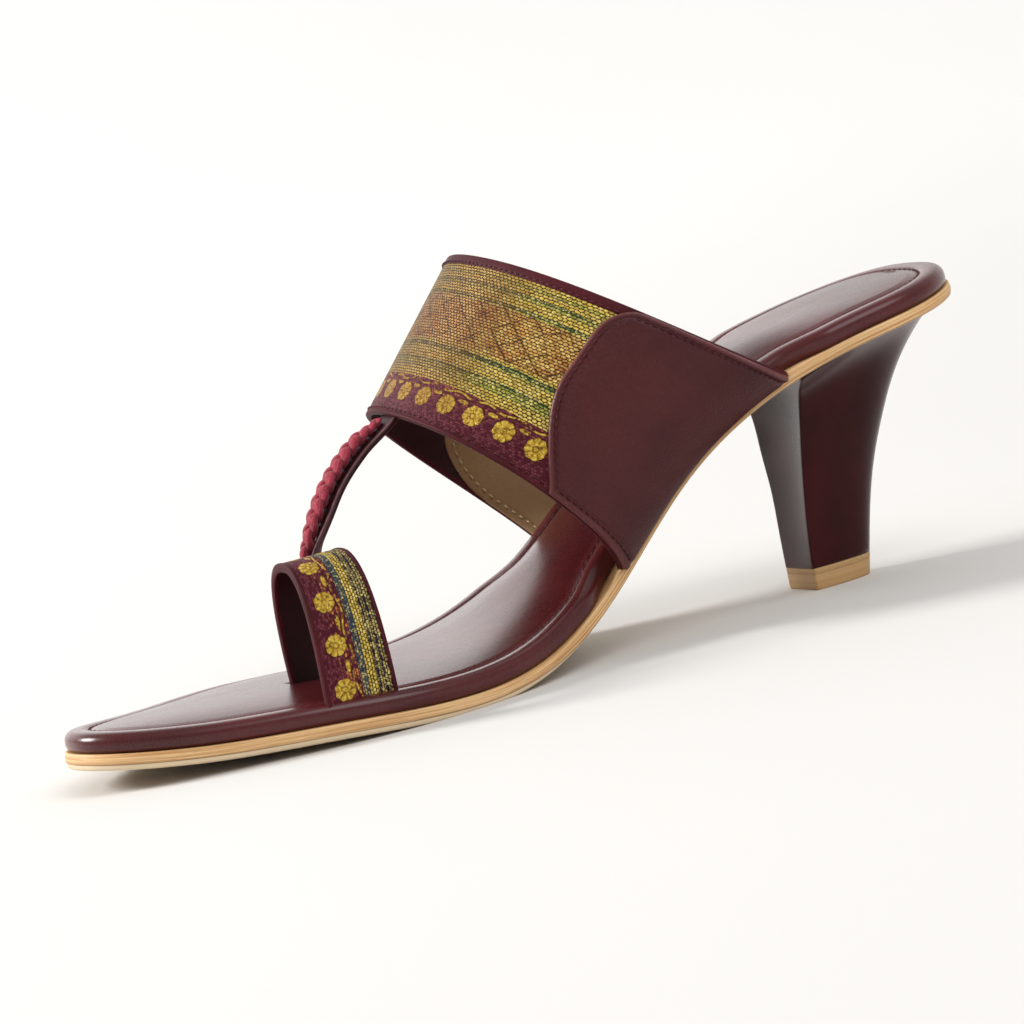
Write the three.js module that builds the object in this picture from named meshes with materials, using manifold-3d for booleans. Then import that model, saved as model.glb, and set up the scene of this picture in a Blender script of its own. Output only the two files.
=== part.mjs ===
// Kolhapuri sandal with a covered block heel, right foot, standing empty on its heel tip and forefoot.
// Millimetres, +Z up, +Y towards the toe, +X towards the outer side of the foot.
// The origin is the middle of the bounding box's bottom, on the floor.

import * as THREE from "three";
import Module from "manifold-3d";

// ---- Driving dimensions ----

const SOLE_LENGTH = 226;
const GAP = 0.3;

// The sole from the back of the heel (along), at the outsole's upper face:
// its height, its middle's shift to the outer side, and its half width.
const SOLE_STATIONS = [
  { along: 0, rise: 61.7, shift: -2.3, half: 27.9 },
  { along: 14, rise: 59.2, shift: -3.0, half: 28.1 },
  { along: 32, rise: 56.1, shift: -1.7, half: 27.8 },
  { along: 54, rise: 49.5, shift: 2.3, half: 26.5 },
  { along: 78, rise: 35.3, shift: 5.2, half: 24.3 },
  { along: 102, rise: 15.5, shift: 6.2, half: 28.1 },
  { along: 126, rise: 4.9, shift: 4.6, half: 37.1 },
  { along: 150, rise: 3.2, shift: 3.0, half: 43.1 },
  { along: 176, rise: 4.9, shift: 2.1, half: 43.6 },
  { along: 202, rise: 6.4, shift: -0.2, half: 38.5 },
  { along: 226, rise: 9.6, shift: -3.6, half: 35.6 },
];
const HEEL_ROUNDING = { reach: 30, power: 2.5 };
const TOE_ROUNDING = { reach: 88, power: 2.19 };
const SOLE_STEPS = 52;
const HEIGHT_ROUNDS = 4;

const OUTSOLE_FRONT = 3.6;
const OUTSOLE_WAIST = 2.6;
const OUTSOLE_THINS = { from: 105, to: 145 };
const OUTSOLE_BEVEL = { inset: 0.7, rise: 2.4 };

// The footbed's section from its underside round the rolled rim to the padded middle.
const FOOTBED_SECTION = [
  { inset: 1.2, lift: GAP },
  { inset: 0.3, lift: 1.4 },
  { inset: 0.3, lift: 3.0 },
  { inset: 1.6, lift: 4.4 },
  { inset: 3.6, lift: 4.6 },
  { inset: 5.6, lift: 4.1 },
  { inset: 8.0, lift: 4.7 },
];
const FOOTBED_CROWN = 6.4;

// Leather walls and how they stack at the sole's edge, from the outside in.
const WALL = 1.8;
const FLAP = 1.2;
const WALL_INSET = FLAP + GAP + WALL / 2;
const RELIEF = FLAP + GAP + WALL + GAP;
const RELIEF_SPAN = { from: 44, to: 104, ease: 5 };

// The instep band's two edges. Each runs from the sole's inner edge over a crest to its outer edge.
const BAND_FRONT = {
  crest: [7.5, 132.8, 61.8],
  climb: 0.08,
  inner: { along: 98.5, leave: [-18, 6, 12], ease: 39 },
  outer: { along: 93.5, leave: [19, 4, 13], ease: 40 },
};
const BAND_REAR = {
  crest: [8.2, 104.2, 90.6],
  climb: 0.09,
  inner: { along: 49.2, leave: [-20, 21, 8], ease: 47 },
  outer: { along: 50.5, leave: [21, 19, 9], ease: 47 },
};
const BAND_ACROSS = 8;
const BAND_AROUND = 36;
const BAND_PROBE = 0.01;
const BASE_DIP = 1.0;
const BASE_BLEND = 3;

// A side flap reaches this share of the way from the sole's edge to the crest, front to rear.
// It swells over the first share of the band's width and rounds off over the last.
const FLAP_REACH = { front: 0.44, middle: 0.585, rear: 0.51 };
const FLAP_SWELL = 0.55;
const FLAP_ROUND_OFF = 0.2;
const FLAP_ACROSS = 12;
const FLAP_AROUND = 14;

// The toe ring is an arch over the big toe.
const RING = { innerX: -35.8, outerX: -4.4, crest: 38.2, power: 2.5, foot: 6.6 };
const RING_FRONT = { inner: 178.6, crest: 175.6, outer: 173.2 };
const RING_REAR = { inner: 162.4, crest: 161.6, outer: 160.4 };
const RING_ACROSS = 4;
const RING_AROUND = 28;

// The centre strip runs from under the band's front edge to the toe ring's outer leg,
// turning from flat-across to flat-along on the way; the braid lies on its outer face.
const STRIP_ROUTE = [
  [7.9, 124.5, 69.5],
  [7.5, 132.0, 61.2],
  [5.8, 142.5, 55.0],
  [2.9, 151.0, 48.6],
  [-0.8, 158.2, 40.0],
  [-3.6, 162.4, 30.5],
  [-4.4, 164.4, 20.0],
  [-4.4, 165.0, 9.5],
];
const STRIP_WIDTH = 8;
const STRIP_THICK = 1.6;
const STRIP_STEPS = 26;
const STRIP_TURN = { from: 0.5, to: 0.88 };
const BRAID_WIDTH = 5.6;
const BRAID_THICK = 2.6;
const BRAID_STANDOFF = 0.65;
const BRAID_SPAN = { from: 0.18, to: 0.88 };
const BRAID_SIDES = 10;
// It narrows over the last shares of its length, to a share of its size.
const BRAID_HEAD = { reach: 0.12, size: 0.7 };
const BRAID_TAIL = { reach: 0.25, size: 0.5 };

// The heel's horizontal sections, from the tip's top to the seat.
const HEEL_LEVELS = [
  { share: 0, half: 7.2, back: 29.0, front: 46.6, hollow: 0.2 },
  { share: 0.2, half: 7.8, back: 26.6, front: 46.2, hollow: 0.5 },
  { share: 0.4, half: 8.8, back: 23.4, front: 45.6, hollow: 0.8 },
  { share: 0.6, half: 10.8, back: 18.8, front: 45.2, hollow: 1.1 },
  { share: 0.8, half: 13.2, back: 12.2, front: 44.8, hollow: 1.4 },
  { share: 0.92, half: 17.4, back: 6.2, front: 45.8, hollow: 1.6 },
  { share: 1, half: 23.6, back: 1.6, front: 47.6, hollow: 1.6 },
];
const HEEL_POWER = 2.7;
const HEEL_AROUND = 28;
const HEEL_FRONT_STEPS = 7;
const HEEL_RINGS = 14;
// How far the heel's middle leans to the inner side, at its foot and at its seat.
const HEEL_LEAN = { foot: 1.0, seat: 2.0 };
const TIP_HEIGHT = 5;
const TIP_TAPER = 1.2;

// ---- Materials ----

const leather = new THREE.MeshStandardMaterial({ color: 0x4a1a22, roughness: 0.45 });
const flapLeather = new THREE.MeshStandardMaterial({ color: 0x431820, roughness: 0.42 });
const brocade = new THREE.MeshStandardMaterial({ color: 0x9a7a3a, roughness: 0.6 });
const cord = new THREE.MeshStandardMaterial({ color: 0x9c1f35, roughness: 0.75 });
const stackedLeather = new THREE.MeshStandardMaterial({ color: 0xb98a5a, roughness: 0.6 });
const tipRubber = new THREE.MeshStandardMaterial({ color: 0xa67c52, roughness: 0.65 });
const heelCover = new THREE.MeshStandardMaterial({ color: 0x3a0f16, roughness: 0.2 });

// ---- Curves of the sole ----

// A natural cubic spline through (xs, ys): returns its value and slope at x.
function spline(xs, ys) {
  const last = xs.length - 1;
  const bend = new Array(last + 1).fill(0);
  const carry = new Array(last + 1).fill(0);
  for (let i = 1; i < last; i++) {
    const left = xs[i] - xs[i - 1];
    const right = xs[i + 1] - xs[i];
    const change = (ys[i + 1] - ys[i]) / right - (ys[i] - ys[i - 1]) / left;
    const pivot = 2 * (left + right) - left * carry[i - 1];
    carry[i] = right / pivot;
    bend[i] = (6 * change - left * bend[i - 1]) / pivot;
  }
  for (let i = last - 1; i > 0; i--) bend[i] -= carry[i] * bend[i + 1];
  return (x) => {
    let i = 0;
    while (i < last - 1 && x > xs[i + 1]) i++;
    const step = xs[i + 1] - xs[i];
    const a = (xs[i + 1] - x) / step;
    const b = (x - xs[i]) / step;
    const curve = ((a ** 3 - a) * bend[i] + (b ** 3 - b) * bend[i + 1]) * step ** 2 / 6;
    const steepen = ((1 - 3 * a * a) * bend[i] + (3 * b * b - 1) * bend[i + 1]) * step / 6;
    return { value: a * ys[i] + b * ys[i + 1] + curve, slope: (ys[i + 1] - ys[i]) / step + steepen };
  };
}

const alongs = SOLE_STATIONS.map((s) => s.along);
const riseAt = spline(alongs, SOLE_STATIONS.map((s) => s.rise));
const shiftAt = spline(alongs, SOLE_STATIONS.map((s) => s.shift));
const halfAt = spline(alongs, SOLE_STATIONS.map((s) => s.half));

// Share of the half width left by the rounding of one end, at a distance from that end.
function rounding(distance, { reach, power }) {
  const near = Math.max(0, 1 - distance / reach);
  return Math.max(0, 1 - near ** power) ** (1 / power);
}

function soleHalf(along) {
  const heel = rounding(along, HEEL_ROUNDING);
  const toe = rounding(SOLE_LENGTH - along, TOE_ROUNDING);
  return halfAt(along).value * heel * toe;
}

// A point of the sole: along its length, across it, and lifted square to its upper face.
function solePoint(along, across, lift) {
  const { value, slope } = riseAt(along);
  const square = Math.hypot(1, slope);
  return new THREE.Vector3(across, along - (lift * slope) / square, value + lift / square);
}

// The height of a face parallel to the sole's upper face, at a place along the floor.
function heightAt(place, lift) {
  let along = place;
  for (let round = 0; round < HEIGHT_ROUNDS; round++) along += place - solePoint(along, 0, lift).y;
  return solePoint(along, 0, lift).z;
}

function smoothStep(from, to, x) {
  return THREE.MathUtils.smoothstep(x, from, to);
}

function outsoleThickness(along) {
  const front = smoothStep(OUTSOLE_THINS.from, OUTSOLE_THINS.to, along);
  return OUTSOLE_WAIST + (OUTSOLE_FRONT - OUTSOLE_WAIST) * front;
}

// How far the footbed steps in to leave room for the band's walls.
function relief(along) {
  const { from, to, ease } = RELIEF_SPAN;
  const enter = smoothStep(from - ease, from + ease, along);
  const leave = 1 - smoothStep(to - ease, to + ease, along);
  return RELIEF * enter * leave;
}

// ---- Building closed bodies ----

function bodyFrom(points, triangles) {
  const geometry = new THREE.BufferGeometry();
  geometry.setAttribute("position", new THREE.Float32BufferAttribute(points.flatMap((p) => p.toArray()), 3));
  geometry.setIndex(triangles);
  return signedVolume(geometry) < 0 ? flipped(geometry) : geometry;
}

function signedVolume(geometry) {
  const position = geometry.attributes.position;
  const corners = [new THREE.Vector3(), new THREE.Vector3(), new THREE.Vector3()];
  let total = 0;
  for (let i = 0; i < geometry.index.count; i += 3) {
    corners.forEach((corner, k) => corner.fromBufferAttribute(position, geometry.index.getX(i + k)));
    total += corners[0].dot(corners[1].clone().cross(corners[2])) / 6;
  }
  return total;
}

function flipped(geometry) {
  const order = Array.from(geometry.index.array);
  for (let i = 0; i < order.length; i += 3) [order[i], order[i + 1]] = [order[i + 1], order[i]];
  geometry.setIndex(order);
  return geometry;
}

// A body skinned over closed loops of equal size, its two ends closed to their middles.
function loft(loops) {
  const size = loops[0].length;
  const points = loops.flat();
  const triangles = [];
  for (let k = 0; k + 1 < loops.length; k++) {
    for (let i = 0; i < size; i++) {
      const a = k * size + i;
      const b = k * size + ((i + 1) % size);
      triangles.push(a, b, b + size, a, b + size, a + size);
    }
  }
  [0, loops.length - 1].forEach((k, end) => {
    const middle = loops[k].reduce((sum, p) => sum.add(p), new THREE.Vector3()).divideScalar(size);
    points.push(middle);
    for (let i = 0; i < size; i++) {
      const edge = [k * size + i, k * size + ((i + 1) % size)];
      triangles.push(points.length - 1, edge[1 - end], edge[end]);
    }
  });
  return bodyFrom(points, triangles);
}

// A body between two faces of a surface: face(side, s, t) for s and t from 0 to 1.
function shell(face, across, around) {
  const points = [];
  const at = (side, i, j) => side * (across + 1) * (around + 1) + i * (around + 1) + j;
  for (const side of [0, 1]) {
    for (let i = 0; i <= across; i++) {
      for (let j = 0; j <= around; j++) points.push(face(side, i / across, j / around));
    }
  }
  const triangles = [];
  const quad = (a, b, c, d) => triangles.push(a, b, c, a, c, d);
  for (let i = 0; i < across; i++) {
    for (let j = 0; j < around; j++) {
      quad(at(1, i, j), at(1, i + 1, j), at(1, i + 1, j + 1), at(1, i, j + 1));
      quad(at(0, i, j), at(0, i, j + 1), at(0, i + 1, j + 1), at(0, i + 1, j));
    }
    quad(at(0, i, 0), at(0, i + 1, 0), at(1, i + 1, 0), at(1, i, 0));
    quad(at(0, i + 1, around), at(0, i, around), at(1, i, around), at(1, i + 1, around));
  }
  for (let j = 0; j < around; j++) {
    quad(at(0, 0, j + 1), at(0, 0, j), at(1, 0, j), at(1, 0, j + 1));
    quad(at(0, across, j), at(0, across, j + 1), at(1, across, j + 1), at(1, across, j));
  }
  return bodyFrom(points, triangles);
}

// ---- Sole-shaped bodies ----

// Stations along the sole, closer together at both ends.
const soleStations = Array.from(
  { length: SOLE_STEPS + 1 },
  (_, i) => (SOLE_LENGTH * (1 - Math.cos((Math.PI * i) / SOLE_STEPS))) / 2
);

// The inner or outer edge of an outline of the given half width, moved inwards square to itself.
function edgePoint(i, side, half, inset, lift) {
  const along = soleStations[i];
  const before = soleStations[Math.max(0, i - 1)];
  const after = soleStations[Math.min(SOLE_STEPS, i + 1)];
  const widen = side * (half(after) - half(before)) + shiftAt(after).value - shiftAt(before).value;
  const ahead = new THREE.Vector2(widen, after - before).normalize();
  const isEnd = i === 0 || i === SOLE_STEPS;
  const inwards = isEnd ? new THREE.Vector2(0, i === 0 ? 1 : -1) : new THREE.Vector2(-ahead.y, ahead.x);
  if (!isEnd && side < 0) inwards.negate();
  const across = shiftAt(along).value + side * half(along) + inwards.x * inset;
  return { along: along + inwards.y * inset, across, lift };
}

// A body of rings that follow the sole's outline, closed across its underside and its top.
function soleBody(half, section, { crown = null, floor = false } = {}) {
  const points = [];
  const place = ({ along, across, lift }) => {
    const point = solePoint(along, across, lift);
    if (floor) point.z = Math.max(0, point.z);
    return points.push(point) - 1;
  };
  const rings = section.map((row) => {
    const lift = (i) => (row.below ? -outsoleThickness(soleStations[i]) : row.lift);
    const edge = (i, side) => place(edgePoint(i, side, half, row.inset, lift(i)));
    const inner = soleStations.map((_, i) => edge(i, -1));
    const outer = soleStations.map((_, i) => {
      const shared = i === 0 || i === SOLE_STEPS;
      return shared ? inner[i] : edge(i, 1);
    });
    return { inner, outer };
  });
  const triangles = [];
  const quad = (a, b, c, d) => {
    if (a !== b && c !== b && a !== c) triangles.push(a, b, c);
    if (a !== c && c !== d && a !== d) triangles.push(a, c, d);
  };
  for (let k = 0; k + 1 < rings.length; k++) {
    for (let i = 0; i < SOLE_STEPS; i++) {
      quad(rings[k].outer[i], rings[k].outer[i + 1], rings[k + 1].outer[i + 1], rings[k + 1].outer[i]);
      quad(rings[k].inner[i + 1], rings[k].inner[i], rings[k + 1].inner[i], rings[k + 1].inner[i + 1]);
    }
  }
  const bottom = rings[0];
  const top = rings[rings.length - 1];
  const lastInset = section[section.length - 1].inset;
  const middle = soleStations.map((_, i) => {
    if (crown === null || i === 0 || i === SOLE_STEPS) return top.inner[i];
    const { along } = edgePoint(i, 1, half, lastInset, crown);
    return place({ along, across: shiftAt(along).value, lift: crown });
  });
  for (let i = 0; i < SOLE_STEPS; i++) {
    quad(bottom.inner[i], bottom.inner[i + 1], bottom.outer[i + 1], bottom.outer[i]);
    if (crown === null) {
      quad(top.outer[i], top.outer[i + 1], top.inner[i + 1], top.inner[i]);
    } else {
      quad(top.outer[i], top.outer[i + 1], middle[i + 1], middle[i]);
      quad(middle[i], middle[i + 1], top.inner[i + 1], top.inner[i]);
    }
  }
  return bodyFrom(points, triangles);
}

function outsole() {
  const section = [
    { inset: OUTSOLE_BEVEL.inset, below: true },
    { inset: 0, lift: OUTSOLE_BEVEL.rise - OUTSOLE_FRONT },
    { inset: 0, lift: 0 },
  ];
  return soleBody(soleHalf, section, { floor: true });
}

function footbedHalf(along) {
  return soleHalf(along) - Math.min(relief(along), soleHalf(along));
}

function footbedBlank() {
  return soleBody(footbedHalf, FOOTBED_SECTION, { crown: FOOTBED_CROWN });
}

// The room that the sole takes, with clearance, for trimming what stands on it.
function soleRoom() {
  const section = [
    { inset: -GAP, lift: -OUTSOLE_FRONT - BASE_DIP },
    { inset: -GAP, lift: GAP },
  ];
  return soleBody(soleHalf, section);
}

// ---- Heel ----

function heelLevel(share) {
  const shares = HEEL_LEVELS.map((l) => l.share);
  const read = (name) => spline(shares, HEEL_LEVELS.map((l) => l[name]))(share).value;
  return { half: read("half"), back: read("back"), front: read("front"), hollow: read("hollow") };
}

// A closed outline with a hollowed front face and a round back, as [across, along] pairs.
function heelOutline({ half, back, front, hollow }) {
  const outline = [];
  const depth = front - back;
  const power = 2 / HEEL_POWER;
  for (let i = 0; i <= HEEL_AROUND; i++) {
    const turn = (Math.PI * i) / HEEL_AROUND;
    const across = -Math.sign(Math.cos(turn)) * half * Math.abs(Math.cos(turn)) ** power;
    outline.push([across, front - depth * Math.sin(turn) ** power]);
  }
  for (let i = 1; i < HEEL_FRONT_STEPS; i++) {
    const across = half * (1 - (2 * i) / HEEL_FRONT_STEPS);
    outline.push([across, front - hollow * (1 - (across / half) ** 2)]);
  }
  return outline;
}

function heelShift(share) {
  return -THREE.MathUtils.lerp(HEEL_LEAN.foot, HEEL_LEAN.seat, share);
}

function heel() {
  const foot = TIP_HEIGHT + GAP;
  const loops = [];
  for (let k = 0; k <= HEEL_RINGS; k++) {
    const share = k / HEEL_RINGS;
    loops.push(heelOutline(heelLevel(share)).map(([across, along]) => {
      const seat = heightAt(along, -OUTSOLE_WAIST - GAP);
      return new THREE.Vector3(across + heelShift(share), along, foot + share * (seat - foot));
    }));
  }
  return loft(loops);
}

// The tip's back slants in towards the floor.
function heelTip() {
  const top = heelLevel(0);
  const level = (z, taper) => heelOutline({ ...top, back: top.back + taper }).map(
    ([across, along]) => new THREE.Vector3(across + heelShift(0), along, z));
  return loft([level(0, TIP_TAPER), level(TIP_HEIGHT, 0)]);
}

// ---- Upper ----

function bezier(a, b, c, d) {
  return new THREE.CubicBezierCurve3(a, b, c, d);
}

// Where a wall of the band leaves the sole, in the middle of its thickness.
function wallBase(side, along) {
  const across = shiftAt(along).value + side * (soleHalf(along) - WALL_INSET);
  return solePoint(along, across, -BASE_DIP);
}

// One edge of the band as a curve from the inner base (0) over the crest (0.5) to the outer base (1).
function bandEdge({ crest, climb, inner, outer }) {
  const top = new THREE.Vector3(...crest);
  const level = new THREE.Vector3(1, 0, climb);
  const half = (side, { along, leave, ease }) => {
    const base = wallBase(side, along);
    const rising = base.clone().add(new THREE.Vector3(...leave));
    return bezier(base, rising, top.clone().addScaledVector(level, side * ease), top);
  };
  const innerHalf = half(-1, inner);
  const outerHalf = half(1, outer);
  return (t) => (t <= 0.5 ? innerHalf.getPoint(2 * t) : outerHalf.getPoint(2 - 2 * t));
}

const frontEdge = bandEdge(BAND_FRONT);
const rearEdge = bandEdge(BAND_REAR);

// The middle of the band's wall: s runs from its front edge to its rear edge, t around the foot.
function bandPoint(s, t) {
  const point = frontEdge(t).lerp(rearEdge(t), s);
  const side = t < 0.5 ? "inner" : "outer";
  const sign = t < 0.5 ? -1 : 1;
  const along = THREE.MathUtils.lerp(BAND_FRONT[side].along, BAND_REAR[side].along, s);
  const end = t < 0.5 ? 0 : 1;
  const straight = frontEdge(end).lerp(rearEdge(end), s);
  const pull = Math.abs(2 * t - 1) ** BASE_BLEND;
  return point.addScaledVector(wallBase(sign, along).sub(straight), pull);
}

// A point off the middle of the band's wall, outwards by the given distance.
function bandSkin(s, t, outwards) {
  const [s0, s1] = [Math.max(0, s - BAND_PROBE), Math.min(1, s + BAND_PROBE)];
  const [t0, t1] = [Math.max(0, t - BAND_PROBE), Math.min(1, t + BAND_PROBE)];
  const back = bandPoint(s1, t).sub(bandPoint(s0, t));
  const around = bandPoint(s, t1).sub(bandPoint(s, t0));
  return bandPoint(s, t).addScaledVector(around.cross(back).normalize(), -outwards);
}

function bandWall() {
  const face = (side, s, t) => bandSkin(s, t, (side - 0.5) * WALL);
  return shell(face, BAND_ACROSS, BAND_AROUND);
}

// How far up the band a flap reaches, from 0 at the sole to 1 at the crest, with rounded corners.
function flapReach(s) {
  const { front, middle, rear } = FLAP_REACH;
  const round = (x) => Math.sqrt(Math.max(0, 1 - (1 - x) ** 2));
  if (s > 1 - FLAP_ROUND_OFF) return rear + (middle - rear) * round((1 - s) / FLAP_ROUND_OFF);
  return front + (middle - front) * Math.sin((Math.PI / 2) * Math.min(1, s / FLAP_SWELL));
}

function sideFlap(sign) {
  const inner = WALL / 2 + GAP;
  const face = (side, s, q) => {
    const reach = (q * flapReach(s)) / 2;
    return bandSkin(s, sign < 0 ? reach : 1 - reach, inner + side * FLAP);
  };
  return shell(face, FLAP_ACROSS, FLAP_AROUND);
}

// The toe ring's wall: s from its front edge to its rear edge, t from the inner foot to the outer foot.
function ringPoint(s, t, outwards, foot = RING.foot) {
  const turn = Math.PI * t;
  const middle = (RING.innerX + RING.outerX) / 2;
  const half = (RING.outerX - RING.innerX) / 2 + outwards;
  const high = RING.crest - foot + outwards;
  const power = 2 / RING.power;
  const across = middle - Math.sign(Math.cos(turn)) * half * Math.abs(Math.cos(turn)) ** power;
  const height = foot + high * Math.max(0, Math.sin(turn)) ** power;
  const along = (edge) => {
    const end = t < 0.5 ? edge.inner : edge.outer;
    return edge.crest + (end - edge.crest) * Math.abs(2 * t - 1);
  };
  return new THREE.Vector3(across, THREE.MathUtils.lerp(along(RING_FRONT), along(RING_REAR), s), height);
}

function ringWall() {
  const face = (side, s, t) => ringPoint(s, t, (side - 0.5) * WALL);
  return shell(face, RING_ACROSS, RING_AROUND);
}

// The room that the toe ring takes in the footbed, a gap larger all round.
function ringRoom() {
  const face = (side, s, t) => {
    const point = ringPoint(s, t, (side - 0.5) * (WALL + 2 * GAP), RING.foot - GAP);
    point.y += (1 - 2 * s) * GAP;
    return point;
  };
  return shell(face, RING_ACROSS, RING_AROUND);
}

const stripCurve = new THREE.CatmullRomCurve3(STRIP_ROUTE.map((p) => new THREE.Vector3(...p)));

// The strip's frame at a share of its length: its middle, its width direction and its outward face.
function stripFrame(u) {
  const middle = stripCurve.getPointAt(u);
  const forward = stripCurve.getTangentAt(u);
  const turn = (Math.PI / 2) * smoothStep(STRIP_TURN.from, STRIP_TURN.to, u);
  const wide = new THREE.Vector3(Math.cos(turn), -Math.sin(turn), 0);
  wide.addScaledVector(forward, -wide.dot(forward)).normalize();
  const outwards = wide.clone().cross(forward).normalize();
  if (outwards.z + outwards.x < 0) outwards.negate();
  return { middle, wide, outwards };
}

// A body swept along the strip with a closed section of [across, outwards] pairs.
function stripSweep(section, from, to, steps) {
  const loops = [];
  for (let k = 0; k <= steps; k++) {
    const { middle, wide, outwards } = stripFrame(from + ((to - from) * k) / steps);
    loops.push(section(k / steps).map(([across, out]) =>
      middle.clone().addScaledVector(wide, across).addScaledVector(outwards, out)));
  }
  return loft(loops);
}

function centreStrip() {
  const w = STRIP_WIDTH / 2;
  const t = STRIP_THICK / 2;
  return stripSweep(() => [[-w, -t], [w, -t], [w, t], [-w, t]], 0, 1, STRIP_STEPS);
}

// The braid's size at a share of its length.
function braidSize(share) {
  const head = smoothStep(0, BRAID_HEAD.reach, share);
  const tail = Math.max(0, share - 1 + BRAID_TAIL.reach) / BRAID_TAIL.reach;
  return (BRAID_HEAD.size + (1 - BRAID_HEAD.size) * head) * (1 - (1 - BRAID_TAIL.size) * tail);
}

function braid() {
  const base = STRIP_THICK / 2 + BRAID_STANDOFF;
  const oval = (size) => Array.from({ length: BRAID_SIDES }, (_, i) => {
    const turn = (2 * Math.PI * (i + 0.5)) / BRAID_SIDES;
    const across = (BRAID_WIDTH / 2) * size * Math.cos(turn);
    return [across, base + (BRAID_THICK / 2) * size * (1 + Math.sin(turn))];
  });
  return stripSweep((share) => oval(braidSize(share)), BRAID_SPAN.from, BRAID_SPAN.to, STRIP_STEPS);
}

// ---- Joins and cuts ----

const wasm = await Module();
wasm.setup();

function solid(geometry) {
  const vertProperties = Float32Array.from(geometry.attributes.position.array);
  const triVerts = Uint32Array.from(geometry.index.array);
  return new wasm.Manifold(new wasm.Mesh({ numProp: 3, vertProperties, triVerts }));
}

function geometryOf(manifold) {
  const mesh = manifold.getMesh();
  const geometry = new THREE.BufferGeometry();
  geometry.setAttribute("position", new THREE.Float32BufferAttribute(mesh.vertProperties, mesh.numProp));
  geometry.setIndex(Array.from(mesh.triVerts));
  return geometry;
}

const room = solid(soleRoom());

// The band, the centre strip and the toe ring, joined into one hollow body and trimmed at the sole.
function upper() {
  const joined = solid(bandWall()).add(solid(centreStrip())).add(solid(ringWall()));
  return geometryOf(joined.subtract(room));
}

function trimmedFlap(sign) {
  return geometryOf(solid(sideFlap(sign)).subtract(room));
}

function footbed() {
  return geometryOf(solid(footbedBlank()).subtract(solid(ringRoom())));
}

// ---- Assembly ----

const shoe = new THREE.Group();

function addPiece(name, geometry, material) {
  const mesh = new THREE.Mesh(geometry, material);
  mesh.name = name;
  shoe.add(mesh);
}

addPiece("outsole", outsole(), stackedLeather);
addPiece("heel", heel(), heelCover);
addPiece("heel_tip", heelTip(), tipRubber);
addPiece("footbed", footbed(), leather);
addPiece("upper", upper(), brocade);
addPiece("flap_medial", trimmedFlap(-1), flapLeather);
addPiece("flap_lateral", trimmedFlap(1), flapLeather);
addPiece("braid", braid(), cord);

const middle = new THREE.Box3().setFromObject(shoe).getCenter(new THREE.Vector3());
shoe.position.set(-middle.x, -middle.y, 0);

const sandal = new THREE.Group();
sandal.add(shoe);

export default sandal;
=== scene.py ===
import math

import bmesh
import bpy
import numpy as np
from mathutils import Matrix, Vector


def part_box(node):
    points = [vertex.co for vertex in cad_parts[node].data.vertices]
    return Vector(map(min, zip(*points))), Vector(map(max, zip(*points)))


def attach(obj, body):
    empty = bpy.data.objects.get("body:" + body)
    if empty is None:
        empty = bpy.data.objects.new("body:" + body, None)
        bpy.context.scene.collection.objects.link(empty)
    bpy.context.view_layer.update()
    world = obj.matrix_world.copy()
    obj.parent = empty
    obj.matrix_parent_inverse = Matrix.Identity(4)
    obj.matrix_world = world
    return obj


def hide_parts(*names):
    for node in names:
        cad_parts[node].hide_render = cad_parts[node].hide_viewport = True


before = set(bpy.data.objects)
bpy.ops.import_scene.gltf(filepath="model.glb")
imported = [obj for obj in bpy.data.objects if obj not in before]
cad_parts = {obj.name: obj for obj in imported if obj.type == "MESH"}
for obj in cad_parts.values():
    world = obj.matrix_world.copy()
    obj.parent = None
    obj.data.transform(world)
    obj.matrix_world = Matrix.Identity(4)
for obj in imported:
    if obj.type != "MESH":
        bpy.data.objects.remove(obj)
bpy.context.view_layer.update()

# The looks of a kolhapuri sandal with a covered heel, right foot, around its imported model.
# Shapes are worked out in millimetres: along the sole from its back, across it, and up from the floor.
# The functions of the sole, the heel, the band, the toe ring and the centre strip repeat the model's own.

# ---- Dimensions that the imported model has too, mm ----

MM = 0.001
SOLE_LENGTH = 226.0
# Each row: along, rise, shift to the outer side, half width.
SOLE_STATIONS = np.array([
    [0, 61.7, -2.3, 27.9],
    [14, 59.2, -3.0, 28.1],
    [32, 56.1, -1.7, 27.8],
    [54, 49.5, 2.3, 26.5],
    [78, 35.3, 5.2, 24.3],
    [102, 15.5, 6.2, 28.1],
    [126, 4.9, 4.6, 37.1],
    [150, 3.2, 3.0, 43.1],
    [176, 4.9, 2.1, 43.6],
    [202, 6.4, -0.2, 38.5],
    [226, 9.6, -3.6, 35.6],
])
HEEL_ROUNDING = (30, 2.5)
TOE_ROUNDING = (88, 2.19)
OUTSOLE_FRONT = 3.6
OUTSOLE_WAIST = 2.6
OUTSOLE_THINS = (105, 145)
WALL = 1.8
FLAP = 1.2
GAP = 0.3
WALL_INSET = FLAP + GAP + WALL / 2
RELIEF = FLAP + GAP + WALL + GAP
RELIEF_SPAN = (44, 104, 5)
HEIGHT_ROUNDS = 5
BASE_DIP = 1.0
BASE_BLEND = 3
BAND_PROBE = 0.01
BAND_FRONT = {"crest": (7.5, 132.8, 61.8), "climb": 0.08,
              "inner": (98.5, (-18, 6, 12), 39), "outer": (93.5, (19, 4, 13), 40)}
BAND_REAR = {"crest": (8.2, 104.2, 90.6), "climb": 0.09,
             "inner": (49.2, (-20, 21, 8), 47), "outer": (50.5, (21, 19, 9), 47)}
FLAP_REACH = (0.44, 0.585, 0.51)
RING_X = (-35.8, -4.4)
RING_CREST = 38.2
RING_POWER = 2.5
RING_FOOT = 6.6
RING_FRONT = (178.6, 175.6, 173.2)
RING_REAR = (162.4, 161.6, 160.4)
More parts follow.
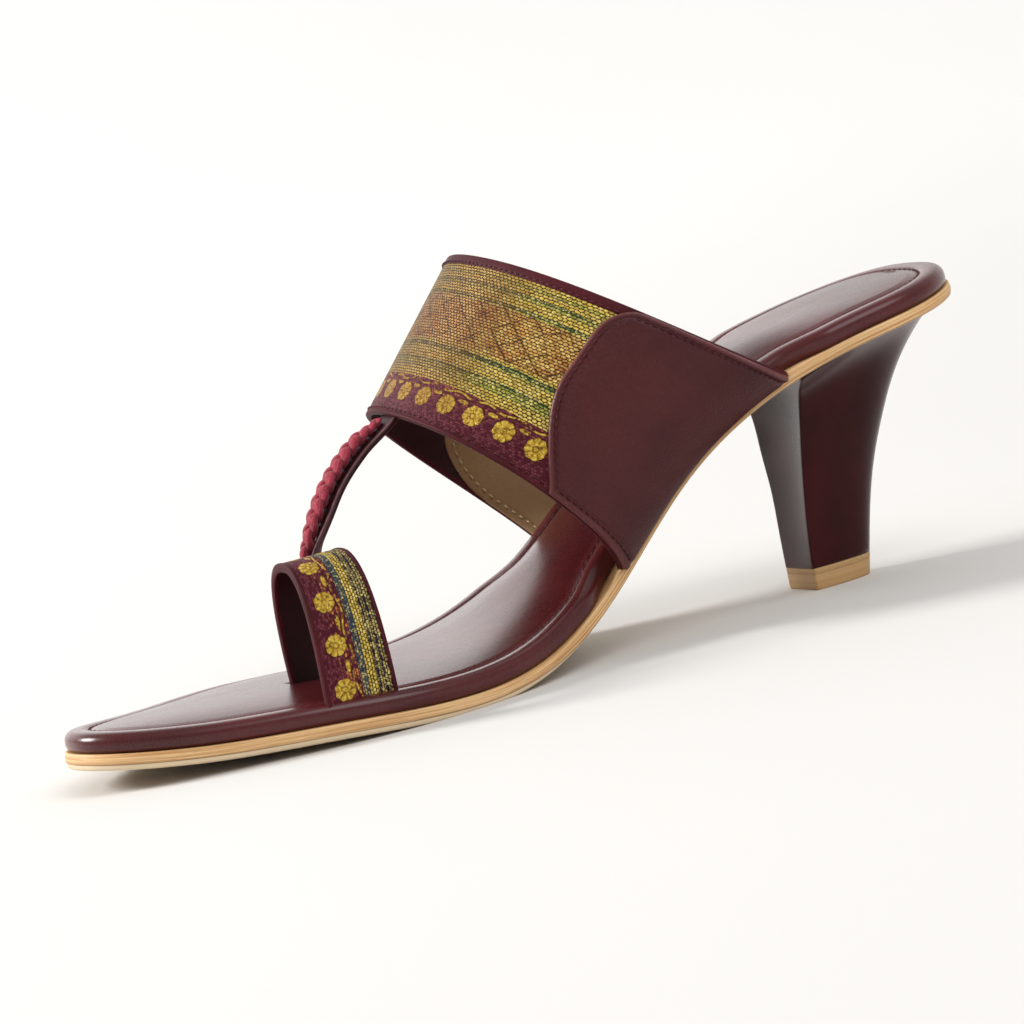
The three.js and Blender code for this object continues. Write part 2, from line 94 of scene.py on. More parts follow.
STRIP_ROUTE = np.array([
    [7.9, 124.5, 69.5],
    [7.5, 132.0, 61.2],
    [5.8, 142.5, 55.0],
    [2.9, 151.0, 48.6],
    [-0.8, 158.2, 40.0],
    [-3.6, 162.4, 30.5],
    [-4.4, 164.4, 20.0],
    [-4.4, 165.0, 9.5],
])
STRIP_WIDTH = 8.0
STRIP_THICK = 1.6
STRIP_TURN = (0.5, 0.88)
# Each row: share of the heel's height, half width, back, front, hollow of the front face.
HEEL_LEVELS = np.array([
    [0, 7.2, 29.0, 46.6, 0.2],
    [0.2, 7.8, 26.6, 46.2, 0.5],
    [0.4, 8.8, 23.4, 45.6, 0.8],
    [0.6, 10.8, 18.8, 45.2, 1.1],
    [0.8, 13.2, 12.2, 44.8, 1.4],
    [0.92, 17.4, 6.2, 45.8, 1.6],
    [1, 23.6, 1.6, 47.6, 1.6],
])
HEEL_POWER = 2.7
HEEL_LEAN = -1.0
TIP_HEIGHT = 5.0
TIP_TAPER = 1.2

# The model's middle stands on the frame's origin: the heel tip's box says how far that moved it.
tip_low, tip_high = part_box("heel_tip")
MODEL_SHIFT = np.array([
    (tip_low[0] + tip_high[0]) / 2 / MM - HEEL_LEAN,
    tip_low[1] / MM - HEEL_LEVELS[0, 2],
    0,
])

# ---- Curves ----


def spline(xs, ys):
    """A natural cubic spline through (xs, ys), as a function that gives its value and its slope."""
    steps = np.diff(xs)
    size = len(xs)
    system = np.eye(size)
    change = np.zeros(size)
    for i in range(1, size - 1):
        system[i, i - 1:i + 2] = [steps[i - 1], 2 * (steps[i - 1] + steps[i]), steps[i]]
        change[i] = 6 * ((ys[i + 1] - ys[i]) / steps[i] - (ys[i] - ys[i - 1]) / steps[i - 1])
    bend = np.linalg.solve(system, change)

    def at(x):
        x = np.asarray(x, dtype=float)
        i = np.clip(np.searchsorted(xs, x) - 1, 0, size - 2)
        step = steps[i]
        a = (xs[i + 1] - x) / step
        b = (x - xs[i]) / step
        curve = ((a ** 3 - a) * bend[i] + (b ** 3 - b) * bend[i + 1]) * step ** 2 / 6
        steepen = ((1 - 3 * a * a) * bend[i] + (3 * b * b - 1) * bend[i + 1]) * step / 6
        return a * ys[i] + b * ys[i + 1] + curve, (ys[i + 1] - ys[i]) / step + steepen

    return at


rise_at, shift_at, half_at = (spline(SOLE_STATIONS[:, 0], SOLE_STATIONS[:, k]) for k in (1, 2, 3))


def smooth_step(low, high, x):
    share = np.clip((x - low) / (high - low), 0, 1)
    return share * share * (3 - 2 * share)


def rounding(distance, reach, power):
    near = np.clip(1 - distance / reach, 0, 1)
    return np.maximum(0, 1 - near ** power) ** (1 / power)


def sole_half(along):
    heel = rounding(along, *HEEL_ROUNDING)
    toe = rounding(SOLE_LENGTH - along, *TOE_ROUNDING)
    return half_at(along)[0] * heel * toe


def footbed_half(along):
    low, high, ease = RELIEF_SPAN
    inside = smooth_step(low - ease, low + ease, along) * (1 - smooth_step(high - ease, high + ease, along))
    return np.maximum(0, sole_half(along) - RELIEF * inside)


def sole_point(along, across, lift):
    along, across, lift = np.broadcast_arrays(along, across, lift)
    value, slope = rise_at(along)
    square = np.hypot(1, slope)
    return np.stack([across, along - lift * slope / square, value + lift / square], -1)


def height_at(place, lift):
    along = np.array(place, dtype=float)
    for _ in range(HEIGHT_ROUNDS):
        along = along + place - sole_point(along, 0 * along, lift)[..., 1]
    return sole_point(along, 0 * along, lift)[..., 2]


def sole_lift(points):
    """How far points stand above the sole's upper face, about square to it."""
    along = points[..., 1]
    slope = rise_at(along)[1]
    return (points[..., 2] - height_at(along, 0.0)) / np.hypot(1, slope)


def outsole_thickness(along):
    return OUTSOLE_WAIST + (OUTSOLE_FRONT - OUTSOLE_WAIST) * smooth_step(*OUTSOLE_THINS, along)


def lengths(points):
    """Distance run along a row of points."""
    return np.concatenate([[0], np.cumsum(np.linalg.norm(np.diff(points, axis=0), axis=1))])


def even(points, step, closed=False):
    """The same path with evenly spaced points, about step apart."""
    path = np.vstack([points, points[:1]]) if closed else points
    run = lengths(path)
    count = max(3, int(round(run[-1] / step)))
    places = np.linspace(0, run[-1], count + 1)
    places = places[:-1] if closed else places
    return np.stack([np.interp(places, run, path[:, k]) for k in range(path.shape[1])], -1)


def smooth_rows(rows, count):
    """A Catmull-Rom curve through rows of numbers, sampled count times between each pair."""
    rows = np.asarray(rows, dtype=float)
    padded = np.vstack([2 * rows[0] - rows[1], rows, 2 * rows[-1] - rows[-2]])
    x = (np.arange(count) / count)[:, None]
    out = []
    for p0, p1, p2, p3 in zip(padded, padded[1:], padded[2:], padded[3:]):
        out.append(0.5 * (2 * p1 + (p2 - p0) * x + (2 * p0 - 5 * p1 + 4 * p2 - p3) * x ** 2
                          + (3 * p1 - p0 - 3 * p2 + p3) * x ** 3))
    return np.vstack([*out, rows[-1:]])


def unit(vectors):
    return vectors / np.maximum(1e-9, np.linalg.norm(vectors, axis=-1, keepdims=True))


def dense_ends(count, edge, edge_count):
    """Shares from 0 to 1 that are closer together within edge of both ends."""
    near = np.linspace(0, edge, edge_count + 1)[:-1]
    return np.concatenate([near, np.linspace(edge, 1 - edge, count), 1 - near[::-1]])


# ---- Meshes ----


def grid_faces(rows, cols, start=0, closed=False):
    i = np.arange(rows - 1)[:, None]
    j = np.arange(cols if closed else cols - 1)[None, :]
    a = start + i * cols + j
    b = start + i * cols + (j + 1) % cols
    return np.stack([a, b, b + cols, a + cols], -1).reshape(-1, 4)


def add_uv(mesh, uv, period=None):
    """Writes each vertex's cloth coordinates. Faces over a closed seam count on past the period."""
    corners = np.empty(len(mesh.loops), dtype=np.int64)
    mesh.loops.foreach_get("vertex_index", corners)
    values = uv[corners].astype(np.float64)
    if period:
        starts = np.empty(len(mesh.polygons), dtype=np.int64)
        mesh.polygons.foreach_get("loop_start", starts)
        highest = np.maximum.reduceat(values[:, 0], starts)
        sizes = np.diff(np.append(starts, len(values)))
        values[:, 0] += period * (np.repeat(highest, sizes) - values[:, 0] > period / 2)
    layer = mesh.uv_layers.new(name="cloth")
    layer.data.foreach_set("uv", values.astype(np.float32).ravel())


def placed(name, data):
    """A new object in the scene."""
    piece = bpy.data.objects.new(name, data)
    bpy.context.scene.collection.objects.link(piece)
    return piece


def add_piece(name, shape, material, replaces=(), uv=None, period=None, shade=None, second=None):
    """A smooth closed mesh from a shape's points, in millimetres, and faces.

    shade is a number per vertex that its material reads. second is another material and its faces."""
    points, faces = shape
    mesh = bpy.data.meshes.new(name)
    mesh.from_pydata(((points + MODEL_SHIFT) * MM).tolist(), [], [[int(v) for v in face] for face in faces])
    if uv is not None:
        add_uv(mesh, uv, period)
    if shade is not None:
        layer = mesh.attributes.new("edge", "FLOAT", "POINT")
        layer.data.foreach_set("value", np.asarray(shade, dtype=np.float32))
    mesh.materials.append(material)
    if second is not None:
        mesh.materials.append(second[0])
        mesh.polygons.foreach_set("material_index", second[1].astype(np.int32))
    build = bmesh.new()
    build.from_mesh(mesh)
    bmesh.ops.remove_doubles(build, verts=build.verts, dist=1e-6)
    bmesh.ops.recalc_face_normals(build, faces=build.faces)
    build.to_mesh(mesh)
    build.free()
    mesh.polygons.foreach_set("use_smooth", [True] * len(mesh.polygons))
    mesh.update()
    piece = placed(name, mesh)
    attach(piece, "root")
    if replaces:
        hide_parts(*replaces)
    return piece


def sheet_mesh(inner, outer):
    """The points and faces of a closed sheet between two grids of points."""
    rows, cols = inner.shape[:2]
    size = rows * cols
    around = np.concatenate([
        np.arange(cols),
        np.arange(1, rows) * cols + cols - 1,
        (rows - 1) * cols + np.arange(cols - 2, -1, -1),
        np.arange(rows - 2, 0, -1) * cols,
    ])
    after = np.roll(around, -1)
    rim = np.stack([around, around + size, after + size, after], -1)
    faces = np.vstack([grid_faces(rows, cols), grid_faces(rows, cols, size)[:, ::-1], rim])
    return np.vstack([inner.reshape(-1, 3), outer.reshape(-1, 3)]), faces


def tube_mesh(loops):
    """The points and faces of a body skinned over closed loops of equal size, with flat fans at its ends."""
    loops = np.asarray(loops)
    count, size = loops.shape[:2]
    points = np.vstack([loops.reshape(-1, 3), loops[0].mean(0), loops[-1].mean(0)])
    faces = grid_faces(count, size, closed=True).tolist()
    for end, first in ((count * size, 0), (count * size + 1, (count - 1) * size)):
        faces += [[end, first + i, first + (i + 1) % size] for i in range(size)]
    return points, faces


def joined(shapes):
    """Separate shapes as the points and faces of one."""
    points, faces, total = [], [], 0
    for more, links in shapes:
        faces += [[v + total for v in face] for face in links]
        points.append(more)
        total += len(more)
    return np.vstack(points), faces


# ---- Materials ----


def rgb(text):
    """A colour such as 5a2630 as linear light."""
    parts = [int(text[i:i + 2], 16) / 255 for i in (0, 2, 4)]
    return tuple(p / 12.92 if p <= 0.04045 else ((p + 0.055) / 1.055) ** 2.4 for p in parts) + (1.0,)


def math_method(operation):
    return lambda self, *others: self.shade.math(operation, self, *others)


class Term:
    """A number or a colour that varies over a surface. Arithmetic on it adds Math nodes."""

    __add__ = __radd__ = math_method("ADD")
    __sub__ = math_method("SUBTRACT")
    __mul__ = __rmul__ = math_method("MULTIPLY")
    __truediv__ = math_method("DIVIDE")
    floor = math_method("FLOOR")
    part = math_method("FRACT")
    sin = math_method("SINE")
    abs = math_method("ABSOLUTE")
    power = math_method("POWER")
    atan2 = math_method("ARCTAN2")
    most = math_method("MAXIMUM")

    def __init__(self, shade, socket):
        self.shade = shade
        self.socket = socket

    def __rsub__(self, other):
        return self.shade.math("SUBTRACT", other, self)

    def fall(self, low, high):
        """1 below low and 0 above high, with a smooth change between."""
        return self.shade.ease(self, low, high, 1.0, 0.0)

    def climb(self, low, high):
        return self.shade.ease(self, low, high, 0.0, 1.0)


class Shade:
    """One material: its nodes are made by these calls, and its shader's own numbers are set by keyword."""

    def __init__(self, name, **surface):
        self.material = bpy.data.materials.new(name)
        self.material.use_nodes = True
        self.tree = self.material.node_tree
        self.shader = self.tree.nodes["Principled BSDF"]
        for key, value in surface.items():
            self.shader.inputs[key.replace("_", " ")].default_value = value

    def feed(self, socket, value):
        if isinstance(value, Term):
            self.tree.links.new(value.socket, socket)
        else:
            socket.default_value = rgb(value) if isinstance(value, str) else value

    def term(self, kind, output, inputs, **settings):
        """One output of a new node, whose inputs are fed by name or by number."""
        node = self.tree.nodes.new("ShaderNode" + kind)
        for key, value in settings.items():
            setattr(node, key, value)
        for key, value in inputs.items():
            self.feed(node.inputs[key], value)
        return Term(self, node.outputs[output])

    def math(self, operation, *values):
        return self.term("Math", 0, dict(enumerate(values)), operation=operation)

    def ease(self, value, low, high, start, end):
        inputs = {"Value": value, "From Min": low, "From Max": high, "To Min": start, "To Max": end}
        return self.term("MapRange", "Result", inputs, interpolation_type="SMOOTHSTEP")

    def parts(self, vector):
        return [self.term("SeparateXYZ", k, {0: vector}) for k in range(3)]

    def cloth(self):
        """The cloth coordinates in millimetres."""
        return self.parts(self.term("UVMap", "UV", {}, uv_map="cloth"))[:2]

    def place(self):
        """The object's own coordinates in millimetres."""
        spot = self.term("TexCoord", "Object", {})
        return self.term("VectorMath", 0, {0: spot, "Scale": 1 / MM}, operation="SCALE")

    def vector(self, *values):
        return self.term("CombineXYZ", 0, dict(enumerate(values)))

    def edge(self):
        """The number that each vertex has for its material."""
        return self.term("Attribute", "Fac", {}, attribute_name="edge")

    def noise(self, vector, size, detail=2.0, rough=0.5):
        """Soft random numbers about 0.5, whose lumps are about size millimetres."""
        inputs = {"Vector": vector, "Scale": 1 / size, "Detail": detail, "Roughness": rough}
        return self.term("TexNoise", "Fac", inputs)

    def grain(self, vector, size):
        """Rounded leather pebbles about size millimetres across: 0 in the creases and up to 1."""
        inputs = {"Vector": vector, "Scale": 1 / size, "Smoothness": 0.3}
        return 1.0 - self.term("TexVoronoi", "Distance", inputs, feature="SMOOTH_F1")

    def chance(self, *values):
        """A random number for each cell whose numbers are given."""
        return self.term("TexWhiteNoise", "Value", {"Vector": self.vector(*values)})

    def mix(self, share, first, second):
        return self.term("Mix", 2, {0: share, 6: first, 7: second}, data_type="RGBA")

    def over(self, below, *layers):
        """A colour with others laid over it in turn, each by its own mask."""
        for mask, colour in layers:
            below = self.mix(mask, below, colour)
        return below

    def ramp(self, value, stops):
        """Steps of colour or grey: stops are (position, colour), from position 0 up."""
        node = self.tree.nodes.new("ShaderNodeValToRGB")
        node.color_ramp.interpolation = "CONSTANT"
        elements = node.color_ramp.elements
        elements.remove(elements[1])
        for position, colour in stops:
            stop = elements.new(position) if position else elements[0]
            stop.color = rgb(colour) if isinstance(colour, str) else (colour, colour, colour, 1.0)
        self.feed(node.inputs["Fac"], value)
        return Term(self, node.outputs["Color"])

    def bump(self, height, depth, below=None):
        """A bump from a height of 0 to 1 that stands for depth millimetres."""
        inputs = {"Distance": depth * MM, "Height": height}
        if below is not None:
            inputs["Normal"] = below
        return self.term("Bump", "Normal", inputs)

    def finish(self, colour, roughness=None, normal=None, metallic=None):
        given = {"Base Color": colour, "Roughness": roughness, "Normal": normal, "Metallic": metallic}
        for key, value in given.items():
            if value is not None:
                self.feed(self.shader.inputs[key], value)
        return self.material


def leather(name, colours, roughness, grain_size=0.9, grain_depth=0.05, edge=False, **surface):
    """Dyed leather in a middle, a dark and a pale colour, with paler edges if edge: wear and a painted
    highlight.
    """
    colour, dark, pale = colours.split()
    s = Shade(name, **surface)
    place = s.place()
    pebbles = s.grain(place, grain_size)
    broad = s.noise(place, 22.0, 3.0)
    fine = s.noise(place, 0.35, 3.0, 0.6)
    tint = s.over(dark, (broad.climb(0.3, 0.7) * 0.75, colour), (pebbles.fall(0.25, 0.62) * 0.35, dark),
                  (fine.climb(0.55, 0.85) * 0.25, pale))
    rough = roughness + (fine - 0.5) * 0.22 + (broad - 0.5) * 0.12
    if edge:
        # Paler, smoother edges: part wear, part painted highlight along the rolled edges.
        wear_and_highlight = s.edge()
        tint = s.over(tint, (wear_and_highlight * (0.3 + 0.5 * s.noise(place, 4.0)), pale))
        rough = rough - wear_and_highlight * 0.08
    normal = s.bump(pebbles * 0.7 + fine * 0.45, grain_depth)
    return s.finish(tint, rough, s.bump(s.noise(place, 7.0), 0.12, normal))


footbed_leather = leather(
    "footbed_leather", "591b1f 430f13 74393b", 0.3, grain_depth=0.03, edge=True,
    Specular_IOR_Level=0.12, Coat_Weight=0.7, Coat_Roughness=0.24, Coat_IOR=1.45)
flap_leather = leather(
    "flap_leather", "501a1d 3f1114 905658", 0.4, 0.7, 0.12, edge=True, Specular_IOR_Level=0.27)
binding_leather = leather("binding_leather", "551d25 3c0f15 8f5158", 0.55, 0.5, Specular_IOR_Level=0.12)
strip_leather = leather("strip_leather", "3c1219 26080c a07073", 0.45, 0.6, edge=True, Specular_IOR_Level=0.25)
inside_leather = leather("inside_leather", "3a1619 260b0e 5d3236", 0.6, 0.5, Specular_IOR_Level=0.25)
lining_leather = leather("lining_leather", "937049 7b5b39 a6865c", 0.62, 0.5, 0.03)
thread_dark = leather("thread_dark", "64292f 3e141a a8757a", 0.55, 0.25, Specular_IOR_Level=0.3)
thread_pale = leather("thread_pale", "bfa678 98804f dccaa2", 0.6, 0.25)


def heel_cover_material():
    s = Shade("heel_cover", Specular_IOR_Level=0.04, Coat_Weight=0.38, Coat_IOR=1.4, Coat_Roughness=0.16,
              Sheen_Weight=0.3, Sheen_Roughness=0.3)
    place = s.place()
    fine = s.noise(place, 0.5, 3.0)
    broad = s.noise(place, 16.0, 3.0)
    tint = s.over("2f070a", (broad.climb(0.35, 0.7), "3b0b0f"), (fine.climb(0.6, 0.8) * 0.2, "52202a"))
    return s.finish(tint, 0.24 + (fine - 0.5) * 0.1, s.bump(s.noise(place, 5.0), 0.05, s.bump(fine, 0.01)))


def outsole_edge_material():
    """Stacked leather seen from the side: long grain lines, with the paler lower layer below a dark joint."""
    s = Shade("outsole_edge")
    run, lift = s.cloth()
    lines = s.noise(s.vector(run * 0.03, lift * 2.6, 0.0), 1.0, 4.0, 0.65)
    threads = s.noise(s.vector(run * 0.25, lift * 9.0, 3.0), 1.0)
    tint = s.over("c08f58", (lines.climb(0.38, 0.62), "e8c08c"), (threads.climb(0.55, 0.75) * 0.32, "8a5c34"),
                  (lift.fall(-2.45, -2.3) * 0.85, "d9c7a8"),
                  ((lift + 2.35).abs().fall(0.05, 0.16) * 0.6, "6b4526"))
    return s.finish(tint, 0.5 + (lines - 0.5) * 0.3, s.bump(lines * 0.6 + threads * 0.5, 0.08))


def underside_material():
    """The sheet under the sole: fine crossed ribs, with broad paler patches at random."""
    s = Shade("underside")
    place = s.place()
    across, along, _ = (part * 3.1 for part in s.parts(place))
    ribs = (along.sin() * 0.5 + 0.5) * (across.sin() * 0.5 + 0.5)
    broad = s.noise(place, 18.0, 4.0)
    fine = s.noise(place, 0.8, 4.0)
    tint = s.over("a98a63", (broad.climb(0.3, 0.7), "c7ad88"), (ribs * 0.25, "8f714c"),
                  (fine.climb(0.6, 0.8) * 0.35, "7c6040"))
    return s.finish(tint, 0.6 + (broad - 0.5) * 0.2, s.bump(ribs * 0.6 + fine * 0.4, 0.12))


def heel_tip_material():
    s = Shade("heel_tip_rubber")
    place = s.place()
    up = s.parts(place)[2]
    layers = s.noise(s.vector(0.0, 0.0, up * 0.9), 1.0, 3.0)
    specks = s.noise(place, 0.5, 3.0)
    tint = s.over("b08a5a", (layers.climb(0.35, 0.65), "bc9766"), (specks.climb(0.55, 0.75) * 0.3, "7c5a38"),
                  ((up - 3.6).abs().fall(0.06, 0.2) * 0.25, "6a4a2c"))
    return s.finish(tint, 0.55, s.bump(specks, 0.05))


def braid_material():
    """Soft crimson leather lace: painted shade where the strands cross under one another, with fine lengthwise
    creases.
    """
    s = Shade("braid_lace", Specular_IOR_Level=0.2, Sheen_Weight=0.12, Sheen_Roughness=0.5)
    place = s.place()
    run, around = s.cloth()
    creases = s.noise(s.vector(run * 0.35, around * 3.2, 0.0), 1.0, 3.0)
    fine = s.noise(place, 0.35, 3.0)
    knots = s.noise(place, 0.8)
    # The edge number paints shade where the strands run under one another and along their sides.
    tint = s.over("8a1f33", (creases.climb(0.35, 0.7), "ad3146"), (fine.climb(0.52, 0.75) * 0.4, "c65566"),
                  (knots.fall(0.36, 0.5) * 0.45, "5c1220"), (s.edge(), "4f0f1c"))
    return s.finish(tint, 0.6 + (fine - 0.5) * 0.2, s.bump(creases * 0.5 + fine * 0.5 + knots * 0.6, 0.3))


# ---- Brocade ----

# Each yarn: the thread's colour, the ground's, and how much of the ground it covers.
PLAIN = ("4c1421", "4c1421", 0.0)
GOLD = ("e4c253", "33291c", 1.0)
OLIVE = ("aaab4b", "33291c", 1.0)
OLIVE_BROWN = ("aaab4b", "40231a", 1.0)
COPPER = ("cd8c45", "40231a", 1.0)
GREEN = ("48663a", "20301f", 1.0)
TEAL = ("385a60", "2a3248", 0.8)
PURPLE = ("33283d", "1e1724", 1.0)
BRONZE = ("a58f52", "1e1724", 1.0)
GOLD_PALE = "f4df88"
SHADOW = "33291c"
# The colour of painted shade near the band's crest.
CREST_SHADE = "6e4020"
LATTICE_SIZE = (8.2, 6.2)


def scales(s, u, v, wide, tall):
    """Rows of small rounded stitches, each set off by half: how much of a stitch is here, and its chance."""
    row = (v / tall).floor()
    slide = u / wide + row * 0.5
    du, dv = ((x.part() - 0.5) * 2.0 for x in (slide, v / tall))
    size = (du.abs().power(2.4) + dv.abs().power(2.4)).power(1 / 2.4)
    return size.fall(0.72, 1.06), s.chance(slide.floor(), row, wide)


def rosettes(u, v, centre, pitch, radius):
    """A row of round flowers with notched rims and dark petal lines: what they cover, and their threads."""
    du = ((u / pitch).part() - 0.5) * pitch
    dv = v - centre
    far = (du * du + dv * dv).power(0.5)
    lobes = (dv.atan2(du) * 4.0).sin().abs()
    cover = (far - radius * (0.9 + 0.1 * lobes)).fall(-0.12, 0.12)
    petals = lobes.fall(0.1, 0.5) * far.climb(radius * 0.35, radius * 0.5)
    petals = petals * far.fall(radius * 0.8, radius * 1.1)
    return cover, petals.most((far - radius * 0.26).abs().fall(0.08, 0.26))


def brocade(name, width, stops, flower, vine, stitch, crest_shade, speck, lattice=None):
    """Silk brocade with metal thread. v and the stops run in millimetres from its front edge."""
    s = Shade(name, Specular_IOR_Level=0.12)
    u, v = s.cloth()

    def lumps(seed, size, detail=2.0, across=u):
        return s.noise(s.vector(across, v, seed), size, detail)

    wobble = lumps(0.0, 9.0)
    shiver = lumps(4.0, 0.9)
    vv = v + (wobble - 0.5) * 0.5 + (shiver - 0.5) * 0.45
    thread, ground, woven = (s.ramp(vv / width, [(p / width, yarn[k]) for p, yarn in stops])
                             for k in range(3))
    woven = s.parts(woven)[0]
    small, chance = scales(s, u + (shiver - 0.5) * 0.6, vv, *stitch)
    if lattice:
        low, high = lattice
        inside = vv.climb(low - 0.25, low + 0.25) * vv.fall(high - 0.25, high + 0.25)
        aside = ((u + (wobble - 0.5) * 1.5) / LATTICE_SIZE[0]).part() - 0.5
        above = ((vv - low) / LATTICE_SIZE[1]).part() - 0.5
        diamond = (aside.abs() + above.abs()) * 2.0
        lines = (diamond - 1.0).abs().fall(0.05, 0.13) * inside * lumps(7.0, 5.0).climb(0.38, 0.5)
        patch = lumps(2.0, 7.0, across=u * 0.6).climb(0.42, 0.62) * inside
        thread = s.over(thread, (patch.most(diamond.fall(0.25, 0.55) * inside) * 0.75, "eab961"))
    glint = lumps(6.0, 0.7)
    # Painted shade: the threads and the silk darken near u = 0, which on the band is its crest.
    shade = u.abs().fall(*crest_shade)
    mottled = lumps(5.0, 5.0, 3.0, u * 0.7).climb(0.5, 0.72)
    thread = s.over(thread, (mottled * 0.45 * woven, GOLD_PALE), ((1.0 - chance) * 0.36, SHADOW),
                    (glint.climb(0.5, 0.64) * 0.75, GOLD_PALE), (glint.fall(0.34, 0.46) * 0.4, SHADOW),
                    (shade * 0.7 * woven, CREST_SHADE))
    twill = ((u + v * 1.6) * 8.5).sin() * 0.5 + 0.5
    specks, luck = scales(s, u + (shiver - 0.5) * 0.5, v, 0.8, 0.55)
    specks = (1.0 - woven) * specks
    flecks = specks * luck.part() * s.chance(luck, 3.0, 1.0).climb(0.62, 0.7)
    flecks = flecks * (v - vine[0]).abs().fall(0.6, 4.2)
    cloth = s.over(ground, (small * woven, thread), (specks * luck.climb(0.3, 0.9) * 0.65, "80404a"),
                   (flecks * speck, "cf8043"))
    if lattice:
        cloth = s.over(cloth, (lines * 0.7, "2a1a10"))
    centre, pitch, radius = flower
    cover, petals = rosettes(u, v, centre, pitch, radius)
    height, sway, thick = vine
    wave = v - height - (u * (2 * math.pi / pitch)).sin() * sway
    stem = wave.abs().fall(thick * 0.3, thick * 0.7) * lumps(8.0, 2.2).climb(0.4, 0.5)
    leaf_u = (((u / pitch + 0.5).part() - 0.5) * pitch) / 1.5
    leaf_v = (v - height + (height - centre) * 0.42) / 0.55
    leaf = (leaf_u * leaf_u + leaf_v * leaf_v).fall(0.6, 1.1) * shiver.climb(0.3, 0.45)
    sewn = cover.most(stem).most(leaf)
    silk = s.over("b8922f", (lumps(9.0, 0.8).climb(0.35, 0.7), "e6c655"),
                  (glint.fall(0.36, 0.46) * 0.75, "6a3e18"), (shade * 0.55, CREST_SHADE))
    cloth = s.over(cloth, (sewn, silk), (cover * petals * shiver.climb(0.3, 0.5) * 0.6, "6a3a18"),
                   (twill * 0.13, "120a08"))
    metal = (small * woven).most(sewn) * 0.3
    relief = (small * woven * 0.8).most(sewn) + twill * 0.15 + specks * 0.25 - cover * petals * 0.5
    return s.finish(cloth, 0.52 - metal * 0.3, s.bump(relief, 0.3), metal)


BAND_CLOTH = 44.0
RING_CLOTH = 15.0

band_brocade = brocade(
    "band_brocade", BAND_CLOTH,
    [(0, PLAIN), (10.9, GOLD), (13.4, OLIVE), (15.4, GREEN), (16.1, GOLD), (18.6, OLIVE), (19.3, GREEN),
     (20.3, GOLD), (21.2, COPPER), (33.2, OLIVE_BROWN), (33.8, GREEN), (34.5, GOLD), (36.6, OLIVE),
     (37.4, GREEN), (37.9, GOLD), (39.6, OLIVE), (40.3, GOLD)],
    flower=(6.5, 8.2, 2.6), vine=(10.2, 0.4, 0.48), stitch=(1.2, 0.72), crest_shade=(14, 34), speck=0.4,
    lattice=(21.2, 33.6))
ring_brocade = brocade(
    "ring_brocade", RING_CLOTH,
    [(0, PLAIN), (7.8, TEAL), (9.4, GOLD), (11.3, PURPLE), (12.0, BRONZE), (12.6, PURPLE),
     (13.3, BRONZE), (13.9, PURPLE)],
    flower=(4.1, 9.4, 2.35), vine=(6.9, 0.4, 0.42), stitch=(0.9, 0.62), crest_shade=(0, 1), speck=1.0)

# ---- Stitching ----

STITCH_SIDES = 6
STITCH_RINGS = 7


def stitch_row(name, path, outwards, pitch, length, thick, material, slot, closed=False, sink=0.0):
    """Separate threads along a path, each an arched bead that dips into the leather at both ends."""
    dense = even(np.hstack([path, outwards]), pitch, closed)
    points, normals = dense[:, :3], unit(dense[:, 3:])
    ahead = np.roll(points, -1, 0) - np.roll(points, 1, 0)
    if not closed:
        ahead[0], ahead[-1] = points[1] - points[0], points[-1] - points[-2]
    ahead = unit(ahead)
    side = unit(np.cross(normals, ahead))
    normals = np.cross(ahead, side)
    turns = 2 * np.pi * np.arange(STITCH_SIDES) / STITCH_SIDES
    beads = []
    for k in range(len(points)):
        ring = np.outer(np.cos(turns), side[k]) + np.outer(np.sin(turns), normals[k])
        loops = []
        for a in np.linspace(-0.985, 0.985, STITCH_RINGS):
            bulge = math.sqrt(1 - a * a)
            middle = points[k] + ahead[k] * a * length / 2 + normals[k] * thick * (bulge - 0.5 - sink)
            loops.append(middle + thick / 2 * bulge ** 0.6 * ring)
        beads.append(tube_mesh(loops))
    return add_piece(name, joined(beads), material)


# ---- Sole ----

STATION_COUNT = 240
stations = SOLE_LENGTH * (1 - np.cos(np.pi * np.arange(STATION_COUNT + 1) / STATION_COUNT)) / 2


def outline(half, inset):
    """The inner and the outer edge of an outline, moved inwards square to itself: along and across."""
    middle = shift_at(stations)[0]
    wide = half(stations)
    waist = smooth_step(18, 34, stations) * (1 - smooth_step(112, 132, stations))
    edges = []
    for side in (-1, 1):
        across = middle + side * wide
        ahead = unit(np.stack([np.gradient(across), np.gradient(stations)], -1))
        inwards = np.stack([-ahead[:, 1], ahead[:, 0]], -1) * side
        inwards[0], inwards[-1] = (0, 1), (0, -1)
        inwards[:, 1] *= 1 - waist
        inwards = unit(inwards)
        edges.append(np.stack([stations + inwards[:, 1] * inset, across + inwards[:, 0] * inset], -1))
    return edges


def round_loop(inner, outer):
    """One loop round the sole from its two edges, which share their ends."""
    return np.concatenate([inner, outer[::-1][1:-1]])


